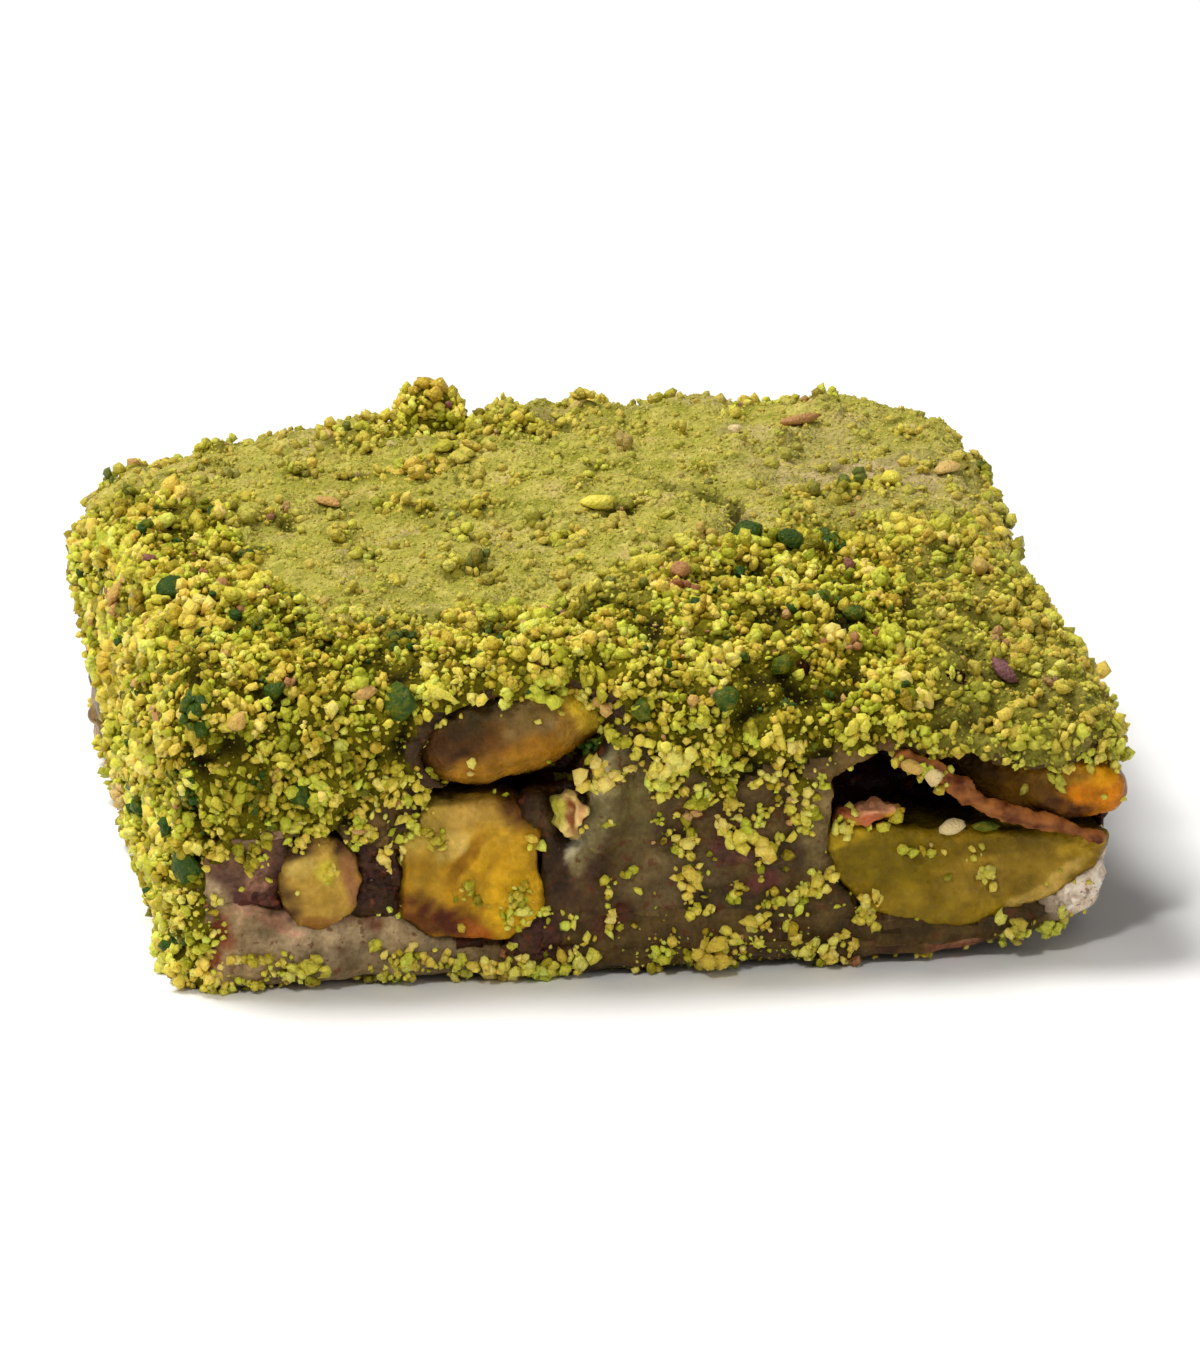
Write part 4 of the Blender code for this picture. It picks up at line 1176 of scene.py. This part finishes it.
def crumb_shape(lumps, draw):
    """One crumb about 1 in radius: a broken lump, or a few that stick together, each with its own tone."""
    whole = bmesh.new()
    tones = []
    size, reach = LUMPS[lumps]
    for _ in range(lumps):
        bm = bmesh.new()
        bmesh.ops.create_icosphere(bm, subdivisions=1, radius=1.0)
        roughened(bm, draw, 0.60, 1.30)
        radius = draw.uniform(*size)
        aside = any_way(draw) * reach * draw.uniform(0.75, 1.1)
        for vertex in bm.verts:
            vertex.co = vertex.co * radius + aside
        tones += [draw.uniform(-0.16, 0.16)] * len(bm.verts)
        add_part(whole, bm)
    mesh = mesh_of(whole, "crumb")
    set_values(mesh, "lobe", tones)
    mesh.shade_smooth()
    return mesh


def speck_shape(draw):
    """The finest grain: an uneven eight-sided one."""
    corners = [(1, 0, 0), (-1, 0, 0), (0, 1, 0), (0, -1, 0), (0, 0, 1), (0, 0, -1)]
    faces = [(0, 2, 4), (2, 1, 4), (1, 3, 4), (3, 0, 4), (2, 0, 5), (1, 2, 5), (3, 1, 5), (0, 3, 5)]
    mesh = bpy.data.meshes.new("speck")
    mesh.from_pydata([Vector(corner) * draw.uniform(0.7, 1.2) for corner in corners], [], faces)
    return mesh


def crumb_kinds(name, shapes):
    """A collection of crumb shapes to pick from."""
    kinds = bpy.data.collections.new(name)
    for i, shape in enumerate(shapes):
        kinds.objects.link(bpy.data.objects.new(f"{name}_{i}", shape))
    return kinds


SCATTER_INPUTS = (
    ("Kinds", "NodeSocketCollection"),
    ("Mask", "NodeSocketString"),
    ("Density", "NodeSocketFloat"),
    ("Apart", "NodeSocketFloat"),
    ("Smallest", "NodeSocketFloat"),
    ("Largest", "NodeSocketFloat"),
    ("Sunk", "NodeSocketFloat"),
    ("Odd Share", "NodeSocketFloat"),
    ("Leafy Share", "NodeSocketFloat"),
    ("Seed", "NodeSocketInt"),
    ("Finish", "NodeSocketMaterial"),
)


def random_value(tree, kind, seed, low, high):
    """A different random number or vector for each crumb."""
    made = add_node(tree, "FunctionNodeRandomValue", {"data_type": kind})
    sockets = [s for s in made.inputs if s.enabled]
    connect(tree, low, next(s for s in sockets if s.name == "Min"))
    connect(tree, high, next(s for s in sockets if s.name == "Max"))
    connect(tree, seed, next(s for s in sockets if s.name == "Seed"))
    return next(s for s in made.outputs if s.enabled)


def keep_value(tree, geometry, name, value):
    """Keeps a number on each crumb, under this name."""
    settings = {"data_type": "FLOAT", "domain": "INSTANCE"}
    values = {"Geometry": geometry, "Name": name, "Value": value}
    return add_node(tree, "GeometryNodeStoreNamedAttribute", settings, **values).outputs["Geometry"]


def kept_value(tree, name):
    """A number that the surface keeps under this name."""
    made = add_node(tree, "GeometryNodeInputNamedAttribute", {"data_type": "FLOAT"}, Name=name)
    return made.outputs["Attribute"]


def crumb_tone(tree, seeds, leafy_share):
    """The tone of each crumb: random, drifting, even on powder, darker in gaps as painted shade and bright
    in clumps.
    """
    where = tree.nodes.new("GeometryNodeInputPosition").outputs["Position"]
    drift = add_node(tree, "ShaderNodeTexNoise", Vector=where, Scale=1 / DRIFT_SIZE).outputs["Fac"]
    own = random_value(tree, "FLOAT", seeds[3], *OWN_TONES)
    drifted = math_node(tree, "MULTIPLY_ADD", math_node(tree, "SUBTRACT", drift, 0.5), TONE_DRIFT, own)
    settled = math_node(tree, "MULTIPLY", kept_value(tree, "calm"), SETTLING)
    away = math_node(tree, "MULTIPLY", math_node(tree, "SUBTRACT", SETTLED_TONE, drifted), settled)
    tone = math_node(tree, "ADD", drifted, away)
    # Painted shade: crumbs in the gaps between clumps are darker
    shaded = math_node(tree, "MULTIPLY_ADD", kept_value(tree, "sunken"), GAP_SHADE, tone)
    fresh = kept_value(tree, "fresh")
    lit = math_node(tree, "MULTIPLY_ADD", fresh, FRESH_LIGHT, shaded)
    bright = math_node(tree, "MINIMUM", lit, LIGHTEST_TONE)
    luck = math_node(tree, "ADD", random_value(tree, "FLOAT", seeds[6], 0.0, 1.0), fresh)
    leafy = math_node(tree, "LESS_THAN", luck, leafy_share)
    return math_node(tree, "MULTIPLY_ADD", leafy, -1.0, bright, clamp=True)


def scatter_tree():
    """Crumbs spread over a surface as its mask says, each of its own size, turn and tone."""
    tree = bpy.data.node_groups.new("Scatter crumbs", "GeometryNodeTree")
    tree.interface.new_socket("Surface", in_out="INPUT", socket_type="NodeSocketGeometry")
    for label, kind in SCATTER_INPUTS:
        tree.interface.new_socket(label, in_out="INPUT", socket_type=kind)
    tree.interface.new_socket("Crumbs", in_out="OUTPUT", socket_type="NodeSocketGeometry")
    given = tree.nodes.new("NodeGroupInput").outputs
    result = tree.nodes.new("NodeGroupOutput")
    seeds = [math_node(tree, "ADD", given["Seed"], 100.0 * i) for i in range(8)]

    mask = add_node(tree, "GeometryNodeInputNamedAttribute", {"data_type": "FLOAT"}, Name=given["Mask"])
    points = add_node(
        tree, "GeometryNodeDistributePointsOnFaces", {"distribute_method": "POISSON"},
        Mesh=given["Surface"], Distance_Min=given["Apart"], Density_Max=given["Density"],
        Density_Factor=mask.outputs["Attribute"], Seed=given["Seed"],
    )
    luck = math_node(tree, "POWER", random_value(tree, "FLOAT", seeds[0], 0.0, 1.0), 1.8)
    spread = math_node(tree, "SUBTRACT", given["Largest"], given["Smallest"])
    size = math_node(tree, "MULTIPLY_ADD", luck, spread, given["Smallest"])
    depth = math_node(tree, "MULTIPLY", math_node(tree, "MULTIPLY", size, given["Sunk"]), -1.0)
    inward = scaled(tree, points.outputs["Normal"], depth)
    sunk = add_node(tree, "GeometryNodeSetPosition", Geometry=points.outputs["Points"], Offset=inward)

    uneven = random_value(tree, "FLOAT_VECTOR", seeds[1], (0.62,) * 3, (1.30,) * 3)
    kinds = add_node(tree, "GeometryNodeCollectionInfo", Collection=given["Kinds"])
    kinds.inputs["Separate Children"].default_value = True
    kinds.inputs["Reset Children"].default_value = True
    crumbs = add_node(
        tree, "GeometryNodeInstanceOnPoints", Points=sunk.outputs["Geometry"],
        Instance=kinds.outputs["Instances"], Pick_Instance=True, Scale=scaled(tree, uneven, size),
        Rotation=random_value(tree, "FLOAT_VECTOR", seeds[2], (0.0,) * 3, (math.tau,) * 3),
    )

    rare = math_node(tree, "LESS_THAN", random_value(tree, "FLOAT", seeds[4], 0.0, 1.0), given["Odd Share"])
    odd = math_node(tree, "MULTIPLY", rare, random_value(tree, "FLOAT", seeds[5], 0.05, 1.0))
    tone = crumb_tone(tree, seeds, given["Leafy Share"])
    toned = keep_value(tree, crumbs.outputs["Instances"], "tone", tone)
    toned = keep_value(tree, toned, "warm", random_value(tree, "FLOAT", seeds[7], 0.0, 1.0))
    toned = keep_value(tree, toned, "odd", odd)
    real = add_node(tree, "GeometryNodeRealizeInstances", Geometry=toned)
    finished = add_node(
        tree, "GeometryNodeSetMaterial", Geometry=real.outputs["Geometry"], Material=given["Finish"]
    )
    tree.links.new(finished.outputs["Geometry"], result.inputs["Crumbs"])
    return tree


def scatter(name, surface, tree, **values):
    """A piece of crumbs over the surface, as the tree spreads them with these inputs."""
    made = add_object(name, surface.data)
    modifier = made.modifiers.new("scatter", "NODES")
    modifier.node_group = tree
    sockets = {s.name: s.identifier for s in tree.interface.items_tree if s.in_out == "INPUT"}
    for label, value in values.items():
        modifier[sockets[label.replace("_", " ")]] = value
    return finish_crumbs(applied(made))


def finish_crumbs(made):
    """Keeps crumbs clear of the floor and under the sweet's height, and lets them ride on the body."""
    points, _ = arrays_of(made.data)
    highest = CAD_BOX[1][2] + HEADROOM
    points[:, 2] = np.clip(points[:, 2], 0.03 * MM, highest)
    set_points(made.data, points)
    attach(made, "root")
    return made


def crumb_bed(pieces):
    """One surface of the pieces, with masks that say where each kind of crumb lies."""
    mesh = mesh_of(joined([piece.data for piece in pieces]), "crumb_bed")
    bed = add_object("crumb_bed", mesh)
    points, normals = arrays_of(mesh)
    coat, loose, outer = coat_at(points, normals), loose_at(points), outside_at(points)
    x, y, z = points.T
    patchy, sticking = noise_at(points, 1.8 * MM), sticking_at(points)
    lifted = rise(x, 9.0, 3.0) * (y < FRONT + 6 * MM)
    fringe = fall(z, 1.6, 0.9) * smooth_share(patchy * 2.6 + 0.75) * (1 - 0.75 * lifted)
    middle = rise(x, -2.0, 2.0) * fall(x, 8.5, 2.0) * (y < FRONT + 2 * MM)
    foot = fall(z, 2.6, 1.2) * middle
    sprinkled = middle * (0.45 + 1.6 * rise(z, 6.5, 4.5)) * smooth_share(patchy * 3.0 + 0.3)
    bare = 0.02 + 0.07 * smooth_share(patchy * 3.0)
    # Only the layers keep how far their clumps stand out; elsewhere the number is 0
    standing = np.empty(len(points), np.float32)
    mesh.attributes["standing"].data.foreach_get("value", standing)
    lying = coat * np.where(standing > 0, standing, 1.0)
    coarse = [lying * (0.03 + 0.97 * loose), 0.5 * fringe, 0.22 * sprinkled, sticking]
    small = [lying * (0.06 + 0.94 * loose), 0.7 * fringe, 0.4 * sprinkled + bare, sticking]
    set_share(mesh, "coarse", outer * np.maximum.reduce(coarse))
    set_share(mesh, "small", outer * np.maximum.reduce(small))
    set_share(mesh, "fine", outer * np.maximum.reduce([coat * (0.5 + 0.5 * loose), *small, 0.8 * foot]))
    whole = 1 - np.maximum(crack_at(points), 0.7 * pit_at(points))
    patches = 0.35 + 0.65 * smooth_share(noise_at(points, 3.0 * MM, 31.0) * 2.2 + 0.35)
    pressed = coat * (1 - loose) * patches * (1 - 0.85 * patch_at(x, y, SMOOTH_PATCH)) * whole
    set_share(mesh, "pressed", outer * pressed)
    set_share(mesh, "powder", outer * np.maximum(coat * (1 - 0.55 * loose) * whole, 0.5 * foot))
    set_share(mesh, "calm", 1 - loose)
    fresh = np.maximum(sticking * (z < 11 * MM), 0.25 * clump_at(points))
    set_share(mesh, "fresh", np.maximum(fresh, 0.5 * smooth_share(patchy * 3 - 0.8)))
    return bed


# The coat's crumbs, from the largest to the finest: name, shapes, mask, how many to a square metre at
# most, then in mm the least distance apart and the smallest and largest radius, how far each is sunk
# as a share of its radius, the shares of tan ones and of dark green ones, and the seed
COAT_CRUMBS = (
    ("coarse_crumbs", "cluster", "coarse", 1.3e6, 0.93, 0.60, 1.12, 0.10, 0.015, 0.045, 5),
    ("middling_crumbs", "handful", "coarse", 3.4e6, 0.53, 0.34, 0.64, -0.20, 0.025, 0.05, 8),
    ("small_crumbs", "broken", "small", 7.0e6, 0.33, 0.14, 0.34, -0.40, 0.03, 0.01, 11),
    ("pressed_crumbs", "handful", "pressed", 7.0e6, 0.38, 0.20, 0.66, 0.60, 0.04, 0.01, 13),
    ("fine_crumbs", "broken", "fine", 2.6e6, 0.36, 0.08, 0.19, -0.20, 0.03, 0.0, 17),
    ("powder_grains", "speck", "powder", 22.0e6, 0.18, 0.05, 0.12, 0.0, 0.04, 0.0, 21),
)


def scatter_coat(bed):
    """The crumbs of the coat, one piece for each size."""
    tree = scatter_tree()
    draw = random.Random(SHAPE_SEED)
    shapes = {
        "cluster": [crumb_shape(11, draw) for _ in range(CRUMB_SHAPES)],
        "handful": [crumb_shape(4, draw) for _ in range(CRUMB_SHAPES)],
        "broken": [crumb_shape(1, draw) for _ in range(CRUMB_SHAPES)],
        "speck": [speck_shape(draw) for _ in range(GRAIN_SHAPES)],
    }
    kinds = {name: crumb_kinds(name, made) for name, made in shapes.items()}
    for name, kind, mask, density, apart, smallest, largest, sunk, odd, leafy, seed in COAT_CRUMBS:
        scatter(
            name, bed, tree, Kinds=kinds[kind], Mask=mask, Density=density, Apart=apart * MM,
            Smallest=smallest * MM, Largest=largest * MM, Sunk=sunk, Odd_Share=odd, Leafy_Share=leafy,
            Seed=seed, Finish=CRUMB,
        )


# Bits that stand out from the coat: where each shows, as the place (x, z) on the front plane that the
# line of sight to it crosses, its half sizes (across, up, thick), all in mm, its turn in degrees,
# its tone and its odd tone
BITS = (
    (-11.3, 13.2, 0.95, 1.10, 0.55, 20, 0.055, 0.0),
    (-9.7, 13.6, 0.90, 0.26, 0.25, -35, 0.92, 0.0),
    (-17.0, 13.9, 0.62, 0.55, 0.45, 30, 0.02, 0.0),
    (-15.9, 9.3, 0.60, 0.78, 0.45, 40, 0.01, 0.0),
    (-20.9, 6.2, 0.70, 0.90, 0.50, 10, 0.00, 0.0),
    (-21.5, 18.7, 0.75, 0.70, 0.50, 0, 0.00, 0.0),
    (-18.8, 12.7, 0.55, 0.40, 0.30, 50, 0.5, 0.22),
    (-13.1, 13.6, 0.72, 0.34, 0.28, 15, 0.5, 0.36),
    (-19.4, 18.8, 0.45, 0.40, 0.35, 0, 0.5, 0.62),
    (15.6, 13.4, 1.00, 0.72, 0.28, 35, 0.5, 1.0),
    (1.0, 18.7, 0.55, 0.50, 0.35, 0, 0.5, 0.62),
    (3.2, 12.8, 0.62, 0.60, 0.40, 0, 0.05, 0.0),
    (5.9, 14.3, 0.55, 0.50, 0.40, 20, 0.10, 0.0),
    (8.9, 16.2, 0.60, 0.50, 0.40, 0, 0.09, 0.0),
    (-0.6, 12.4, 0.50, 0.60, 0.40, 20, 0.08, 0.0),
    (13.4, 6.2, 0.62, 0.40, 0.36, 10, 0.5, 0.01),
    (14.9, 6.1, 0.70, 0.28, 0.30, -10, 0.12, 0.0),
    (11.6, 9.3, 0.60, 0.35, 0.30, -25, 0.5, 0.20),
    (12.6, 8.8, 0.45, 0.40, 0.30, 0, 0.5, 0.05),
    (4.3, 20.1, 1.00, 0.80, 0.60, 0, 0.00, 0.0),
    (6.0, 19.8, 0.75, 0.66, 0.50, 20, 0.01, 0.0),
    (10.7, 22.4, 0.62, 0.55, 0.45, 0, 0.88, 0.0),
    (13.1, 23.0, 0.80, 0.50, 0.15, 15, 0.5, 0.16),
    (6.5, 25.4, 1.20, 0.40, 0.25, 0, 0.5, 0.55),
    (3.6, 25.1, 0.34, 0.30, 0.25, 0, 0.5, 0.004),
    (-14.6, 22.6, 0.70, 0.30, 0.15, -20, 0.5, 0.40),
    (-2.6, 21.9, 0.90, 0.60, 0.35, 10, 0.93, 0.0),
)


def bit_on(tree, place, half, turn, draw):
    """One uneven bit lying on the surface that the tree searches, along the line of sight."""
    eye = bpy.context.scene.camera.location
    seen = Vector((place[0] * MM, FRONT, place[1] * MM))
    spot, normal, _, _ = tree.ray_cast(eye, (seen - eye).normalized())
    bm = bmesh.new()
    bmesh.ops.create_icosphere(bm, subdivisions=2, radius=1.0)
    roughened(bm, draw, 0.80, 1.14)
    shape = Matrix.Diagonal([value * MM for value in half]).to_4x4()
    facing = normal.to_track_quat("Z", "Y").to_matrix().to_4x4()
    turned = Euler((0, 0, math.radians(turn))).to_matrix().to_4x4()
    raised = spot + normal * (0.45 * half[2] + 0.16) * MM
    bm.transform(Matrix.Translation(raised) @ facing @ turned @ shape)
    return bm


def place_bits(bed):
    """The bits that stand out from the coat, as one piece."""
    tree = search_tree([bed.data])
    draw = random.Random(BIT_SEED)
    whole = bmesh.new()
    tones, odds = [], []
    for across, up, *half, turn, tone, odd in BITS:
        bm = bit_on(tree, (across, up), half, turn, draw)
        tones += [tone] * len(bm.verts)
        odds += [odd] * len(bm.verts)
        add_part(whole, bm)
    mesh = mesh_of(whole, "standing_bits")
    set_values(mesh, "tone", tones)
    set_values(mesh, "odd", odds)
    set_values(mesh, "warm", [0.5] * len(tones))
    mesh.shade_smooth()
    mesh.materials.append(CRUMB)
    return finish_crumbs(add_object("standing_bits", mesh))


make_camera()
make_studio()
CRUMB = crumb_material()
COAT = coat_material()
JELLY = jelly_material()
KERNEL = kernel_material()
SKIN = skin_material()
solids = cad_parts.items()
KERNEL_TREE = search_tree([solid.data for node, solid in solids if node.startswith("pistachio")])

layers = [
    dress_layer("upper_jelly_and_coat", "lokum_top", 0.26 * MM),
    dress_layer("lower_jelly", "lokum_bottom", 0.30 * MM),
    dress_layer("cocoa_paste_layer", "cocoa_paste", 0.28 * MM),
]
kernels = [dress_kernel(node) for node in [*FRONT_PAINT, *HIDDEN_KERNELS] if node.startswith("pistachio")]
bed = crumb_bed([*layers, *kernels, dress_skin()])
scatter_coat(bed)
place_bits(bed)
bpy.data.objects.remove(bed)
